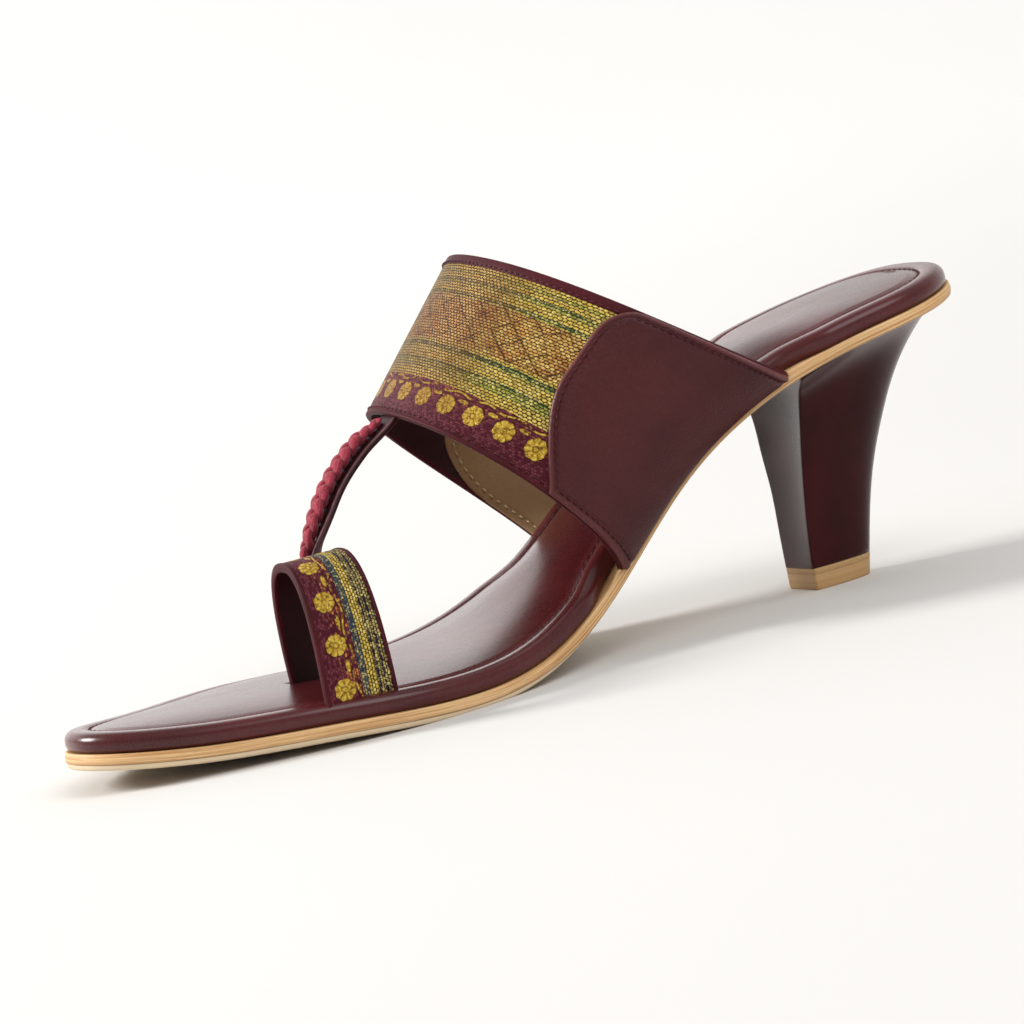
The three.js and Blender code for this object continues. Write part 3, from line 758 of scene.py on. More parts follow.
def sole_mesh(half, profile, top=None, columns=12):
    """Rings round the sole from its underside up, closed by cross rows below and above.

    profile gives (inset, lift) rows, where lift may be a function of along. top gives the lift over the
    middle from along, across, the share across (-1 to 1) and the last ring's lift."""
    count = STATION_COUNT + 1
    loop = 2 * count - 2
    rings = []
    for inset, lift in profile:
        level = lift(stations) if callable(lift) else np.full(count, lift)
        rings.append((round_loop(*outline(half, inset)), round_loop(level, level)))
    points = [sole_point(ring[:, 0], ring[:, 1], lifts) for ring, lifts in rings]
    middle = points[len(points) // 2]
    run = lengths(np.vstack([middle, middle[:1]]))
    uv = [np.stack([run[:-1], lifts], -1) for _, lifts in rings]
    faces = grid_faces(len(profile), loop, closed=True).tolist()
    kinds = [0] * len(faces)
    total = len(profile) * loop
    inner_ids = np.arange(count)
    outer_ids = np.concatenate([[0], loop - 1 - np.arange(count - 2), [count - 1]])
    for kind, first in ((1, 0), (2, total - loop)):
        ring, lifts = rings[0 if kind == 1 else -1]
        a, b = ring[inner_ids], ring[outer_ids]
        cap = [first + inner_ids]
        for j in range(1, columns):
            share = (1 - math.cos(math.pi * j / columns)) / 2
            spot = (a + (b - a) * share)[1:-1]
            level = (lifts[inner_ids] * (1 - share) + lifts[outer_ids] * share)[1:-1]
            if kind == 2 and top is not None:
                level = top(spot[:, 0], spot[:, 1], 2 * share - 1, level)
            points.append(sole_point(spot[:, 0], spot[:, 1], level))
            uv.append(np.stack([spot[:, 0], level], -1))
            cap.append(np.concatenate([[first], total + np.arange(count - 2), [first + count - 1]]))
            total += count - 2
        cap.append(first + outer_ids)
        for near, far in zip(cap, cap[1:]):
            for corners in zip(near, near[1:], far[1:], far):
                face = list(dict.fromkeys(int(v) for v in corners))
                if len(face) > 2:
                    faces.append(face)
                    kinds.append(kind)
    return (np.vstack(points), faces), np.vstack(uv), run[-1], np.array(kinds)


# Each row: inset from the outline, share of the outsole's thickness below its upper face.
OUTSOLE_EDGE = [
    (1.5, 1.0), (0.95, 1.0), (0.62, 0.975), (0.36, 0.92), (0.26, 0.84), (0.24, 0.7), (0.3, 0.66), (0.06, 0.61),
    (0.0, 0.5), (0.0, 0.3), (0.03, 0.1), (0.12, 0.02), (0.4, 0.0),
]


def make_outsole():
    profile = [(inset, lambda along, part=part: -outsole_thickness(along) * part)
               for inset, part in OUTSOLE_EDGE]
    shape, uv, period, kinds = sole_mesh(sole_half, profile)
    shape[0][:, 2] = np.maximum(shape[0][:, 2], 0)
    add_piece("outsole_layers", shape, outsole_edge_material(), ["outsole"], uv, period,
              second=(underside_material(), kinds == 1))


# Each row: inset from the outline, lift over the outsole.
FOOTBED_RIM = [
    (2.6, 0.06), (1.3, 0.1), (0.7, 0.45), (0.34, 1.1), (0.2, 1.9), (0.24, 2.8), (0.6, 3.6), (1.3, 4.25),
    (2.3, 4.56), (3.4, 4.66), (4.4, 4.62), (5.0, 4.46), (5.35, 4.24), (5.6, 4.12), (5.85, 4.22), (6.2, 4.4),
    (6.9, 4.64), (8.0, 4.94),
]
LIP_INSET = 3.4
GROOVE_INSET = 5.6
GROOVE_LIFT = 4.12
PAD_INSET = 6.9
FOOTBED_CROWN = 7.0
CROWN_EASE = 14
HEEL_CUP = 0.5
RING_LEG_DIP = 1.1


def footbed_top(along, across, share, level):
    """The padded middle: full, a little hollow under the heel, and pressed in round the toe ring's legs."""
    end = np.maximum(0, np.minimum(along, SOLE_LENGTH - along) - FOOTBED_RIM[-1][0])
    full = (1 - abs(share) ** 2.5) * (1 - np.exp(-end / CROWN_EASE))
    cup = np.exp(-((along - 30) / 22) ** 2) * HEEL_CUP
    lift = level + (FOOTBED_CROWN - level) * full - cup * (1 - share * share)
    for x, rear, front in zip(RING_X, RING_REAR[::2], RING_FRONT[::2]):
        beside = np.maximum(0, np.abs(across - x) - WALL / 2)
        beyond = np.maximum(0, np.maximum(rear - along, along - front))
        lift = lift - RING_LEG_DIP * np.exp(-(np.hypot(beside, beyond) / 0.9) ** 2)
    return lift


def make_footbed():
    profile = [tuple(row) for row in smooth_rows(FOOTBED_RIM, 3)]
    shape, uv, period, _ = sole_mesh(footbed_half, profile, footbed_top, columns=110)
    insets = np.full(len(uv), 99.0)
    rims = np.repeat([inset for inset, _ in profile], 2 * STATION_COUNT)
    insets[:len(rims)] = rims
    # Paler bands on the rolled lip and along the pad's edge: part wear, part painted highlight.
    wear_and_highlight = np.exp(-((insets - LIP_INSET) / 1.1) ** 2) * 0.5 + np.exp(-((insets - PAD_INSET) / 0.6) ** 2) * 0.35
    pad = add_piece("footbed_pad", shape, footbed_leather, ["footbed"], uv, period, shade=wear_and_highlight)
    path = round_loop(*outline(footbed_half, GROOVE_INSET))
    low, high = (sole_point(path[:, 0], path[:, 1], GROOVE_LIFT + up) for up in (0, 1))
    stitch_row("footbed_stitches", low, high - low, 2.5, 1.75, 0.52, thread_dark, "footbed", closed=True)


# ---- Heel ----

HEEL_LOOP_BACK = 120
HEEL_LOOP_FRONT = 34
HEEL_LOOPS = 56
HEEL_CORNER = 0.55
HEEL_STEP = 0.12
SEAT_GAP = 0.04
# Each row: height, inset. The tip has a worn lower edge and a joint near its top.
TIP_RINGS = [
    (0.0, 0.5), (0.0, 0.28), (0.12, 0.1), (0.35, 0.02), (0.7, 0.0), (3.5, 0.0), (3.6, 0.1), (3.7, 0.0),
    (4.6, 0.0), (4.85, 0.08), (TIP_HEIGHT, 0.25),
]


def heel_outline(half, back, front, hollow):
    """A hollowed front face and a round back, its corners eased as wrapped leather is."""
    power = 2 / HEEL_POWER
    turn = np.pi * (1 - np.cos(np.pi * np.arange(HEEL_LOOP_BACK + 1) / HEEL_LOOP_BACK)) / 2
    across = -np.sign(np.cos(turn)) * half * np.abs(np.cos(turn)) ** power
    along = front - (front - back) * np.sin(turn) ** power
    face = half * np.cos(np.pi * np.arange(1, HEEL_LOOP_FRONT) / HEEL_LOOP_FRONT)
    sharp = np.vstack([
        np.stack([across, along], -1),
        np.stack([face, front - hollow * (1 - (face / half) ** 2)], -1),
    ])
    run = lengths(np.vstack([sharp, sharp[:1]]))
    fine = even(sharp, HEEL_STEP, closed=True)
    reach = int(4 * HEEL_CORNER / HEEL_STEP)
    weights = np.exp(-(np.arange(-reach, reach + 1) * HEEL_STEP / HEEL_CORNER) ** 2 / 2)
    weights /= weights.sum()
    soft = sum(w * np.roll(fine, k, 0) for w, k in zip(weights, range(-reach, reach + 1)))
    places = np.linspace(0, run[-1], len(soft) + 1)
    soft = np.vstack([soft, soft[:1]])
    return np.stack([np.interp(run[:-1], places, soft[:, k]) for k in (0, 1)], -1)


heel_levels = [spline(HEEL_LEVELS[:, 0], HEEL_LEVELS[:, k]) for k in range(1, 5)]


def heel_loop(share, low, high):
    """A loop of the heel at a share of its height, between a level and a face given along the sole."""
    flat = heel_outline(*(level(share)[0] for level in heel_levels))
    z = low + share * (high(flat[:, 1]) - low)
    return np.stack([flat[:, 0] + HEEL_LEAN * (1 + share), flat[:, 1], z], -1)


def make_heel():
    def seat(along):
        return height_at(along, -OUTSOLE_WAIST - SEAT_GAP)

    foot = TIP_HEIGHT + SEAT_GAP
    loops = [heel_loop(share, foot, seat) for share in np.linspace(0, 1, HEEL_LOOPS)]
    add_piece("heel_cover", tube_mesh(loops), heel_cover_material(), ["heel"])
    flat = loops[0]
    middle = flat.mean(0)
    backness = (flat[:, 1].max() - flat[:, 1]) / np.ptp(flat[:, 1])
    rings = []
    for z, inset in TIP_RINGS:
        ring = middle + (flat - middle) * (1 - inset / 8)
        ring[:, 1] += (1 - z / TIP_HEIGHT) * TIP_TAPER * backness
        ring[:, 2] = z
        rings.append(ring)
    add_piece("heel_top_piece", tube_mesh(rings), heel_tip_material(), ["heel_tip"])


# ---- Band ----


def wall_base(side, along):
    across = shift_at(along)[0] + side * (sole_half(along) - WALL_INSET)
    return sole_point(along, across, -BASE_DIP)


def band_edge(edge):
    top = np.array(edge["crest"], dtype=float)
    level = np.array([1, 0, edge["climb"]])

    def at(t):
        t = np.asarray(t, dtype=float)[..., None]
        out = 0
        for side, key, share, here in ((-1, "inner", 2 * t, t <= 0.5), (1, "outer", 2 - 2 * t, t > 0.5)):
            along, leave, ease = edge[key]
            base = wall_base(side, np.float64(along))
            b, c = base + leave, top + level * side * ease
            rest = 1 - share
            curve = base * rest ** 3 + 3 * b * rest ** 2 * share + 3 * c * rest * share ** 2 + top * share ** 3
            out = out + here * curve
        return out

    return at


front_edge, rear_edge = band_edge(BAND_FRONT), band_edge(BAND_REAR)


def band_point(s, t):
    """The middle of the band's wall: s runs from its front edge to its rear edge, t from the inner side."""
    s, t = np.broadcast_arrays(np.asarray(s, dtype=float), np.asarray(t, dtype=float))
    w = s[..., None]
    out = front_edge(t) * (1 - w) + rear_edge(t) * w
    for side, key, end, here in ((-1, "inner", 0.0, t < 0.5), (1, "outer", 1.0, t >= 0.5)):
        along = BAND_FRONT[key][0] * (1 - s) + BAND_REAR[key][0] * s
        straight = front_edge(end) * (1 - w) + rear_edge(end) * w
        pull = np.abs(2 * t - 1) ** BASE_BLEND * here
        out = out + (wall_base(side, along) - straight) * pull[..., None]
    return out


def band_normal(s, t):
    back = band_point(np.minimum(1, s + BAND_PROBE), t) - band_point(np.maximum(0, s - BAND_PROBE), t)
    around = band_point(s, np.minimum(1, t + BAND_PROBE)) - band_point(s, np.maximum(0, t - BAND_PROBE))
    return -unit(np.cross(around, back))


def band_skin(s, t, out):
    s, t, out = np.broadcast_arrays(*(np.asarray(x, dtype=float) for x in (s, t, out)))
    return band_point(s, t) + band_normal(s, t) * out[..., None]


def band_start(s, side, out, lift=0.06):
    """How far from its end a face of the band meets the sole's upper face, as a share t, for each s."""
    tries = np.linspace(0, 0.12, 61)
    height = sole_lift(band_skin(s[:, None], (tries if side < 0 else 1 - tries)[None, :], out))
    return np.array([np.interp(lift, row, tries) for row in height])


band_turns = np.linspace(0, 1, 601)
band_runs = lengths(band_point(np.full(601, 0.5), band_turns))
BAND_CREST_RUN = float(np.interp(0.5, band_turns, band_runs))


def band_run(t):
    """Millimetres round the foot from the crest."""
    return np.interp(t, band_turns, band_runs) - BAND_CREST_RUN


def turned(share, side):
    """The t at a share of the way up one side of the band, from the sole to the crest."""
    return share / 2 if side < 0 else 1 - share / 2


# ---- Flaps and linings ----

FLAP_CORNER = 0.8
FLAP_SWELL = 0.55
FLAP_WIDE = BAND_CLOTH * 0.95
STITCH_IN = 1.45


def flap_reach(s):
    """How far up the band a flap reaches, from 0 at the sole to 1 at the crest."""
    front, middle, rear = FLAP_REACH
    x = np.clip((1 - s) / (1 - FLAP_CORNER), 0, 1)
    round_off = rear + (middle - rear) * np.sqrt(np.maximum(0, 1 - (1 - x) ** 2))
    swell = front + (middle - front) * np.sin(np.pi / 2 * np.minimum(1, s / FLAP_SWELL))
    return np.where(s > FLAP_CORNER, round_off, swell)


def lining_reach(s):
    """A little less than the flap's, with its front corner rounded too."""
    corner = 1 - np.clip(s / 0.16, 0, 1)
    return flap_reach(s) - 0.05 - 0.14 * (1 - np.sqrt(1 - corner * corner))


def outline_distance(s, t, side, reach):
    """Millimetres from points of a flap to its outline, measured over the band's cloth."""
    height = abs(float(band_run(turned(0.0, side))))

    def flat(s, t):
        return np.stack([s * FLAP_WIDE, height + side * -band_run(t)], -1)

    quarter = np.linspace(0, np.pi / 2, 40)
    top_s = np.concatenate([np.linspace(0, FLAP_CORNER, 60), 1 - (1 - FLAP_CORNER) * (1 - np.sin(quarter))])
    foot = np.linspace(0, 1, 20)
    path_s = np.concatenate([np.zeros(20), top_s, np.ones(20)])
    path_up = np.concatenate([foot * reach(np.array(0.0)), reach(top_s), (1 - foot) * reach(np.array(1.0))])
    path = flat(path_s, turned(path_up, side))
    spots = flat(s, t).reshape(-1, 1, 2)
    start, run = path[:-1][None], np.diff(path, axis=0)[None]
    share = np.clip(((spots - start) * run).sum(-1) / np.maximum(1e-9, (run * run).sum(-1)), 0, 1)
    gap = np.linalg.norm(spots - start - run * share[..., None], axis=-1)
    return gap.min(1).reshape(s.shape)


def flap_sheet(side, reach, low, thick, cols, radius, groove):
    """The places of a flap's grid, their distance from its outline, and its thickness there: the edge is
    rolled, and there is a groove where it is sewn."""
    s = dense_ends(60, 0.07, 12)
    start = band_start(s, side, low)
    q = np.concatenate([np.linspace(0, 0.9, cols), np.linspace(0.9, 1, 22)[1:]])
    t = start[:, None] + (reach(s) / 2 - start)[:, None] * q[None, :]
    t = t if side < 0 else 1 - t
    s = np.broadcast_to(s[:, None], t.shape)
    d = outline_distance(s, t, side, reach)
    near = 1 - np.clip(d / radius, 0, 1)
    full = 0.3 + 0.7 * np.sqrt(1 - near * near) - groove * np.exp(-((d - STITCH_IN) / 0.42) ** 2)
    return s, t, d, full * thick


def sewn_outline(side, reach):
    """The path that the stitches follow inside a flap's outline, from its front foot to its rear foot."""
    low_s, high_s = STITCH_IN / FLAP_WIDE, 1 - STITCH_IN / FLAP_WIDE
    start = band_start(np.array([low_s, high_s]), side, 1.0) + 0.012
    quarter = np.linspace(0, np.pi / 2, 40)[1:]
    corner = FLAP_CORNER + (high_s - FLAP_CORNER) * np.sin(quarter)
    top_s = np.concatenate([np.linspace(low_s, FLAP_CORNER, 50), corner])
    squeezed = np.clip((top_s - 0.5) / (high_s - low_s) + 0.5, 0, 1)
    top_t = reach(squeezed) / 2 - STITCH_IN / abs(float(band_run(turned(0.0, side)))) * 0.5
    foot = np.linspace(start[0], top_t[0], 40)[:-1]
    back = np.linspace(top_t[-1], start[1], 40)[1:]
    s = np.concatenate([np.full(39, low_s), top_s, np.full(39, high_s)])
    t = np.concatenate([foot, top_t, back])
    return s, (t if side < 0 else 1 - t)


def make_side_leathers(name, reach, base, thick, cols, radius, groove, material, slot, thread, lift, *sizes):
    """A leather on each side of the foot, sewn round. With a negative thickness it lies inside the band."""
    way = math.copysign(1, thick)
    for side, which in ((-1, "medial"), (1, "lateral")):
        s, t, d, full = flap_sheet(side, reach, base, thick, cols, radius, groove)
        sheets = band_skin(s, t, base), band_skin(s, t, base + full)
        shape = sheet_mesh(*(sheets if way > 0 else sheets[::-1]))
        # Paler along each flap's rolled outline: part wear, part painted highlight.
        wear_and_highlight = np.exp(-(d / 0.6) ** 2).ravel() * 0.7
        if way > 0:
            add_piece(f"{name}_{which}_leather", shape, material, [f"{name}_{which}"],
                      shade=np.tile(wear_and_highlight, 2))
        else:
            add_piece(f"{name}_{which}", shape, material)
        s, t = sewn_outline(side, reach)
        path, outwards = band_skin(s, t, base + way * lift), way * band_normal(s, t)
        stitch_row(f"{name}_{which}_stitches", path, outwards, *sizes, thread, slot, sink=0.05)


def make_flaps():
    make_side_leathers("flap", flap_reach, WALL / 2 + 0.02, FLAP + 0.1, 60, 0.8, 0.22, flap_leather, "flap",
                       thread_dark, 1.131, 1.9, 1.35, 0.4)


def make_linings():
    make_side_leathers("lining", lining_reach, -0.28, -0.62, 50, 0.7, 0.12, lining_leather, "upper",
                       thread_pale, 0.58, 2.1, 1.45, 0.5)


# ---- Panels and bindings ----

BAND_INSIDE = -0.26


def make_layers(names, faces, brocade_material, run, share, replaces=()):
    """A brocade cloth over its plain inner leather, from three faces of one sheet."""
    inner, middle, outer = faces
    uv = np.stack([run, share], -1).reshape(-1, 2)
    add_piece(names[0], sheet_mesh(middle, outer), brocade_material, replaces, np.vstack([uv, uv]))
    add_piece(names[1], sheet_mesh(inner, middle), inside_leather)


def make_panel():
    """The brocade panel, with its plain inner leather, from the sole over the foot to the sole."""
    s = np.linspace(0, 1, 90)
    first = band_start(s, -1, 0.0, 0.3)
    last = 1 - band_start(s, 1, 0.0, 0.3)
    t = first[:, None] + (last - first)[:, None] * np.linspace(0, 1, 190)[None, :]
    s = np.broadcast_to(s[:, None], t.shape)
    faces = [band_skin(s, t, out) for out in (BAND_INSIDE, 0.2, WALL / 2)]
    make_layers(("band_cloth", "band_inner_leather"), faces, band_brocade, band_run(t), s * BAND_CLOTH,
                ["upper"])


def make_binding(name, spot, turns, cover, inside, back):
    """A strip folded over a sheet's edge: spot(a, t, out) is a place a millimetres in from that edge.

    cover is its width on the outer face, inside the inner face's height and back its width there."""
    outside, proud, thick = WALL / 2, 0.35, 0.14
    middle = (outside + inside) / 2
    radius = (outside - inside) / 2 + thick
    bend = np.linspace(np.pi / 2, 3 * np.pi / 2, 11)
    section = [
        (cover, outside - 0.05), (cover, outside + thick * 0.7), (cover - 0.25, outside + thick),
        *((math.cos(x) * proud, middle + math.sin(x) * radius) for x in bend),
        (back - 0.25, inside - thick), (back, inside - thick * 0.7), (back, inside + 0.05),
        (0.5, inside + 0.1), (0.5, outside - 0.1),
    ]
    loops = [np.array([spot(a, t, out) for a, out in section]) for t in turns]
    add_piece(name, tube_mesh(loops), binding_leather)


def make_band_bindings():
    wide = float(np.linalg.norm(front_edge(0.5) - rear_edge(0.5)))
    edges = (("front", 0.0, 1, 0.7, 1.2, 0.02), ("rear", 1.0, -1, 2.2, 1.65, 0.2))
    for name, edge, way, cover, seam, lift in edges:
        def spot(a, t, out):
            point = band_skin(edge + way * max(a, 0) / wide, t, out)
            if a < 0:
                point = point + unit(band_point(edge, t) - band_point(edge + way * 0.02, t)) * -a
            return point

        start, end = (float(band_start(np.array([edge]), side, 0.0, 0.8)[0]) for side in (-1, 1))
        make_binding(f"band_{name}_binding", spot, np.linspace(start, 1 - end, 150), cover, BAND_INSIDE, 0.7)
        s, t = np.full(200, edge + way * seam / wide), np.linspace(0.2, 0.8, 200)
        path = band_skin(s, t, WALL / 2 + lift)
        stitch_row(f"band_{name}_stitches", path, band_normal(s, t), 1.9, 1.3, 0.36, thread_dark, "upper")


# ---- Toe ring ----


def ring_point(s, t, out):
    s, t, out = np.broadcast_arrays(*(np.asarray(x, dtype=float) for x in (s, t, out)))
    turn = np.pi * t
    half = (RING_X[1] - RING_X[0]) / 2 + out
    high = RING_CREST - RING_FOOT + out
    power = 2 / RING_POWER
    across = sum(RING_X) / 2 - np.sign(np.cos(turn)) * half * np.abs(np.cos(turn)) ** power
    height = RING_FOOT + high * np.maximum(0, np.sin(turn)) ** power

    def along(inner, crest, outer):
        return crest + (np.where(t < 0.5, inner, outer) - crest) * np.abs(2 * t - 1)

    return np.stack([across, along(*RING_FRONT) * (1 - s) + along(*RING_REAR) * s, height], -1)


def make_toe_ring():
    t = (1 - np.cos(np.linspace(0, np.pi, 4001))) / 2
    run = lengths(ring_point(0.5, t, 0.0))
    runs = np.linspace(0, run[-1], 170)
    turns = np.interp(runs, run, t)
    s, t = np.meshgrid(np.linspace(0, 1, 44), turns, indexing="ij")
    faces = [ring_point(s, t, out) for out in (-WALL / 2, 0.1, WALL / 2)]
    run = np.broadcast_to(runs, s.shape)
    make_layers(("toe_ring_cloth", "toe_ring_lining"), faces, ring_brocade, run, s * RING_CLOTH)
    for name, edge, way in (("front", 0.0, 1), ("rear", 1.0, -1)):
        def spot(a, t, out):
            point = ring_point(edge + way * max(a, 0) / RING_CLOTH, t, out)
            point[1] -= way * min(a, 0)
            return point

        make_binding(f"toe_ring_{name}_binding", spot, turns[::2], 0.7, -WALL / 2, 0.7)


# ---- Centre strip and braid ----


def centripetal(points):
    """A centripetal Catmull-Rom curve through points, as many points along it."""
    padded = np.vstack([2 * points[0] - points[1], points, 2 * points[-1] - points[-2]])
    x = np.linspace(0, 1, 81)[:, None]
    out = [points[:1]]
    for p0, p1, p2, p3 in zip(padded, padded[1:], padded[2:], padded[3:]):
        d0, d1, d2 = (np.linalg.norm(b - a) ** 0.5 for a, b in ((p0, p1), (p1, p2), (p2, p3)))
        leave = ((p1 - p0) / d0 - (p2 - p0) / (d0 + d1) + (p2 - p1) / d1) * d1
        enter = ((p2 - p1) / d1 - (p3 - p1) / (d1 + d2) + (p3 - p2) / d2) * d1
        cube = 2 * p1 - 2 * p2 + leave + enter
        square = -3 * p1 + 3 * p2 - 2 * leave - enter
        out.append((p1 + leave * x + square * x ** 2 + cube * x ** 3)[1:])
    return np.vstack(out)


strip_line = centripetal(STRIP_ROUTE)
strip_runs = lengths(strip_line)
STRIP_LENGTH = float(strip_runs[-1])


def strip_frame(u):
    """The strip at shares of its length: its middle, its width direction and its outward face."""
    def at(share):
        places = np.clip(share, 0, 1) * STRIP_LENGTH
        return np.stack([np.interp(places, strip_runs, strip_line[:, k]) for k in range(3)], -1)

    forward = unit(at(u + 0.01) - at(u - 0.01))
    turn = np.pi / 2 * smooth_step(*STRIP_TURN, u)
    wide = np.stack([np.cos(turn), -np.sin(turn), 0 * turn], -1)
    wide = unit(wide - forward * (wide * forward).sum(-1, keepdims=True))
    outwards = unit(np.cross(wide, forward))
    sign = np.where(outwards[..., 2] + outwards[..., 0] < 0, -1.0, 1.0)
    return at(u), wide, outwards * sign[..., None]


def make_strip():
    """The leather that backs the braid, its edges rounded over."""
    turn = np.linspace(0, 2 * np.pi, 29)[:-1]
    w, h = STRIP_WIDTH / 2, STRIP_THICK / 2
    across = np.sign(np.cos(turn)) * np.abs(np.cos(turn)) ** 0.32 * w
    out = np.sign(np.sin(turn)) * np.abs(np.sin(turn)) ** 0.55 * h
    u = np.linspace(0, 1, 110)
    middle, wide, outwards = strip_frame(u)
    loops = middle[:, None] + wide[:, None] * across[:, None] + outwards[:, None] * out[:, None]
    # The rounded edges take the leather's paler edge colour: part wear, part painted highlight.
    corner = smooth_step(0.8, 0.95, np.abs(across) / w) * smooth_step(0.55, 0.8, np.abs(out) / h)
    shade = np.append(np.tile(corner, 110), [0, 0])
    add_piece("centre_strip", tube_mesh(loops), strip_leather, shade=shade)


BRAID_SPAN = (0.18, 0.88)
BRAID_HEAD = (0.16, 0.6)
BRAID_TAIL = (0.25, 0.5)
BRAID_WIDTH = 5.6
BRAID_LOBE = 3.5
BRAID_STRAND = (1.5, 0.95)
BRAID_WEAVE = 0.58
BRAID_TILT = 0.35
BRAID_BASE = STRIP_THICK / 2 + 0.02


def make_braid():
    """A flat three-strand plait that narrows and tightens towards both ends."""
    share = np.linspace(0, 1, 420)
    u = BRAID_SPAN[0] + (BRAID_SPAN[1] - BRAID_SPAN[0]) * share
    middle, wide, outwards = strip_frame(u)
    run = (u - BRAID_SPAN[0]) * STRIP_LENGTH
    taper = BRAID_HEAD[1] + (1 - BRAID_HEAD[1]) * smooth_step(0, BRAID_HEAD[0], share)
    taper = taper * (1 - (1 - BRAID_TAIL[1]) * np.maximum(0, share - 1 + BRAID_TAIL[0]) / BRAID_TAIL[0])
    pace = 2 * np.pi / (3 * BRAID_LOBE) / taper ** 0.8
    phase = np.concatenate([[0], np.cumsum((pace[1:] + pace[:-1]) / 2 * np.diff(run))])
    turns = np.linspace(0, 2 * np.pi, 15)[:-1]
    cosine, sine = np.cos(turns)[:, None], np.sin(turns)[:, None]
    strands, uv, strand_shade = [], [], []
    for k in range(3):
        angle = phase + 2 * np.pi * k / 3
        across = (BRAID_WIDTH / 2 - BRAID_STRAND[0]) * taper * np.sin(angle)
        height = BRAID_BASE + (BRAID_STRAND[1] + BRAID_WEAVE + BRAID_WEAVE * np.sin(2 * angle)) * taper
        line = middle + wide * across[:, None] + outwards * height[:, None]
        ahead = unit(np.gradient(line, axis=0))
        side = unit(np.cross(outwards, ahead))
        lifted = unit(np.cross(ahead, side))
        tilt = (BRAID_TILT * np.cos(angle))[:, None]
        axis_a = (side * np.cos(tilt) + lifted * np.sin(tilt)) * BRAID_STRAND[0] * taper[:, None]
        axis_b = (lifted * np.cos(tilt) - side * np.sin(tilt)) * BRAID_STRAND[1] * taper[:, None]
        loops = line[:, None] + cosine * axis_a[:, None] + sine * axis_b[:, None]
        strands.append(tube_mesh(loops))
        run_k = lengths(line)
        uv.append(np.vstack([np.stack(np.meshgrid(run_k, turns, indexing="ij"), -1).reshape(-1, 2),
                             [[0, 0], [run_k[-1], 0]]]))
        # Painted shade: darkest where a strand runs under the others, and along each strand's sides.
        low = np.clip((0.45 - np.sin(2 * angle)) / 1.45, 0, 1) ** 2 * 0.44
        shade = np.clip(low[:, None] + np.abs(np.cos(turns)) ** 6 * 0.45, 0, 1)
        strand_shade.append(np.append(shade, [1, 1]))
    add_piece("braid_strands", joined(strands), braid_material(), ["braid"], np.vstack(uv),
              shade=np.concatenate(strand_shade))


# ---- Floor, light and camera ----

CAMERA_AZIMUTH = -113.1
CAMERA_ELEVATION = 6.21
CAMERA_ROLL = -12.63
CAMERA_DISTANCE = 1.367
CAMERA_LENS = 217.0
CAMERA_AIM = (-2.75, 0.02, 30.0)
CAMERA_RAISE = 4.6
BACKDROP_WAY = (0.92, -0.39)
BACKDROP_SPAN = (150, 1800)
BACKDROP_GLOW = 0.26
# Each row: distance from the middle and height, in metres.
FLOOR_PROFILE = [(0.4, 0), (0.9, 0), (1.5, 0), (2.0, 0.04), (2.6, 0.25), (3.2, 0.7), (3.6, 1.3), (3.8, 2.0)]


def make_floor():
    """A round pale floor that curves up far away. It glows a little behind the sandal."""
    s = Shade("floor_paper", Roughness=0.9, Emission_Color=(1.0, 0.995, 0.99, 1.0))
    place = s.place()
    x, y, _ = s.parts(place)
    far = (x * BACKDROP_WAY[0] + y * BACKDROP_WAY[1]).climb(*BACKDROP_SPAN)
    s.feed(s.shader.inputs["Emission Strength"], far * BACKDROP_GLOW)
    rows = smooth_rows(FLOOR_PROFILE, 4)
    turns = np.linspace(0, 2 * np.pi, 97)[:-1]
    points = [(r * math.cos(a), r * math.sin(a), max(0, z)) for r, z in rows for a in turns]
    faces = grid_faces(len(rows), len(turns), closed=True).tolist()
    faces += [[len(points), (i + 1) % len(turns), i] for i in range(len(turns))]
    mesh = bpy.data.meshes.new("floor")
    mesh.from_pydata(points + [(0, 0, 0)], [], faces)
    mesh.materials.append(s.finish(s.mix(s.noise(place, 300.0), "dad9d7", "dddcda")))
    mesh.polygons.foreach_set("use_smooth", [True] * len(mesh.polygons))
    placed("floor", mesh)


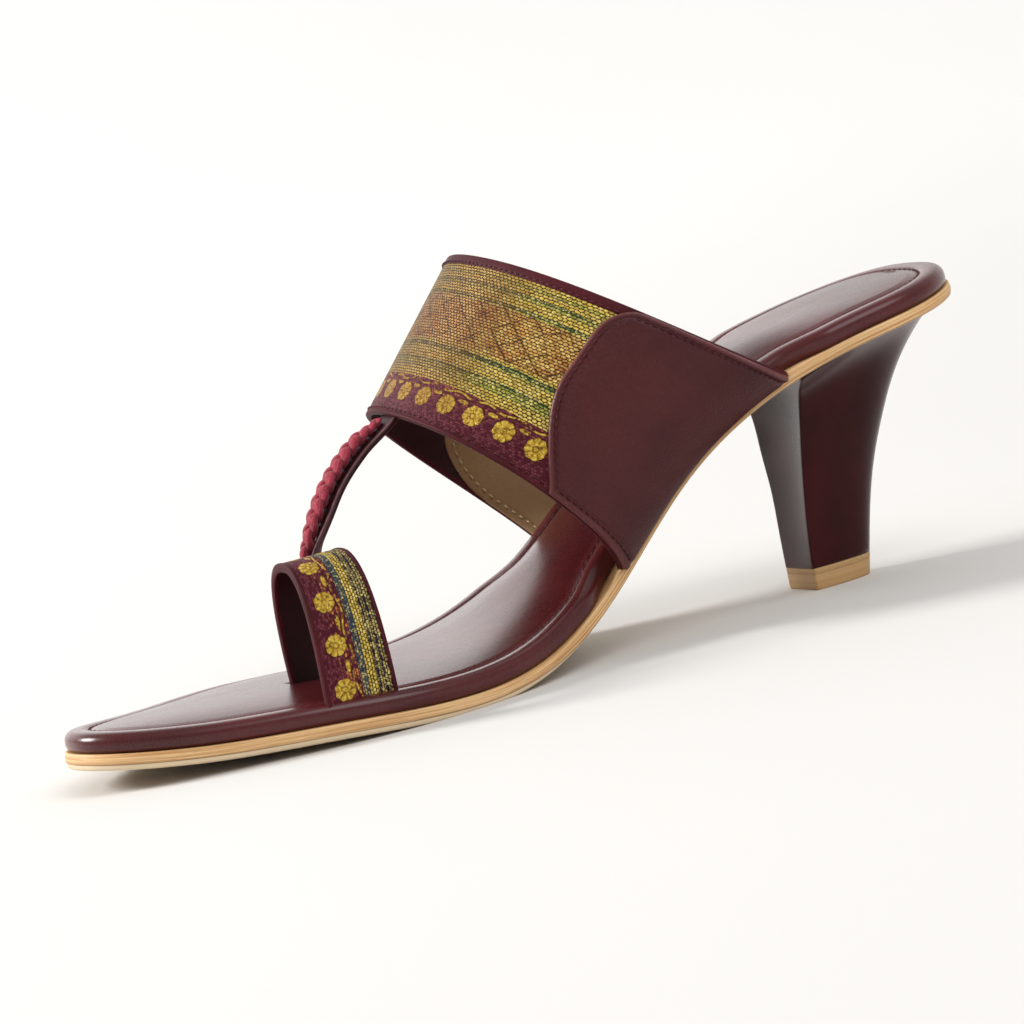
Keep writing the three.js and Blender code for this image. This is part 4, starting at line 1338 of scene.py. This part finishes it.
def direction(azimuth, elevation):
    """The way to a place: azimuth 0 is in front of the toe, and 90 is at the outer side."""
    a, e = math.radians(azimuth), math.radians(elevation)
    return Vector((math.sin(a) * math.cos(e), math.cos(a) * math.cos(e), math.sin(e)))


def make_light(name, azimuth, elevation, distance, size, power, colour):
    """A soft panel that shines at the sandal."""
    way = direction(azimuth, elevation)
    lamp = bpy.data.lights.new(name, "AREA")
    lamp.shape = "DISK"
    lamp.size = size
    lamp.energy = power
    lamp.color = colour
    panel = placed(name, lamp)
    panel.location = way * distance
    panel.rotation_euler = way.to_track_quat("Z", "Y").to_euler()


def make_world(strength):
    world = bpy.data.worlds.new("studio")
    world.use_nodes = True
    back = world.node_tree.nodes["Background"]
    back.inputs["Color"].default_value = (1.0, 0.99, 0.98, 1.0)
    back.inputs["Strength"].default_value = strength
    bpy.context.scene.world = world


def make_camera():
    """A low view of the inner side from the toe, rolled a little, with the shoe filling the frame."""
    back = direction(180 - CAMERA_AZIMUTH, CAMERA_ELEVATION)
    right = Vector((-back.y, back.x, 0)).normalized()
    roll = Matrix.Rotation(math.radians(CAMERA_ROLL), 3, back)
    right, up = roll @ right, roll @ back.cross(right)
    lens = bpy.data.cameras.new("camera")
    lens.lens = CAMERA_LENS
    lens.clip_start = 0.05
    lens.clip_end = 50
    camera = placed("camera", lens)
    spot = (Vector(CAMERA_AIM) + up * CAMERA_RAISE) * MM + back * CAMERA_DISTANCE
    camera.matrix_world = Matrix.Translation(spot) @ Matrix((right, up, back)).transposed().to_4x4()
    bpy.context.scene.camera = camera


make_camera()
make_floor()
make_world(0.6)
make_light("key", 35, 31, 2.0, 0.7, 40, (1.0, 0.985, 0.96))
make_light("fill", -100, 50, 2.2, 1.6, 18, (1.0, 0.99, 0.98))
make_light("back", 92, 24, 2.4, 2.0, 5.5, (1.0, 1.0, 1.0))
bpy.context.scene.view_settings.view_transform = "Standard"

make_outsole()
make_footbed()
make_heel()
make_panel()
make_flaps()
make_linings()
make_band_bindings()
make_toe_ring()
make_strip()
make_braid()
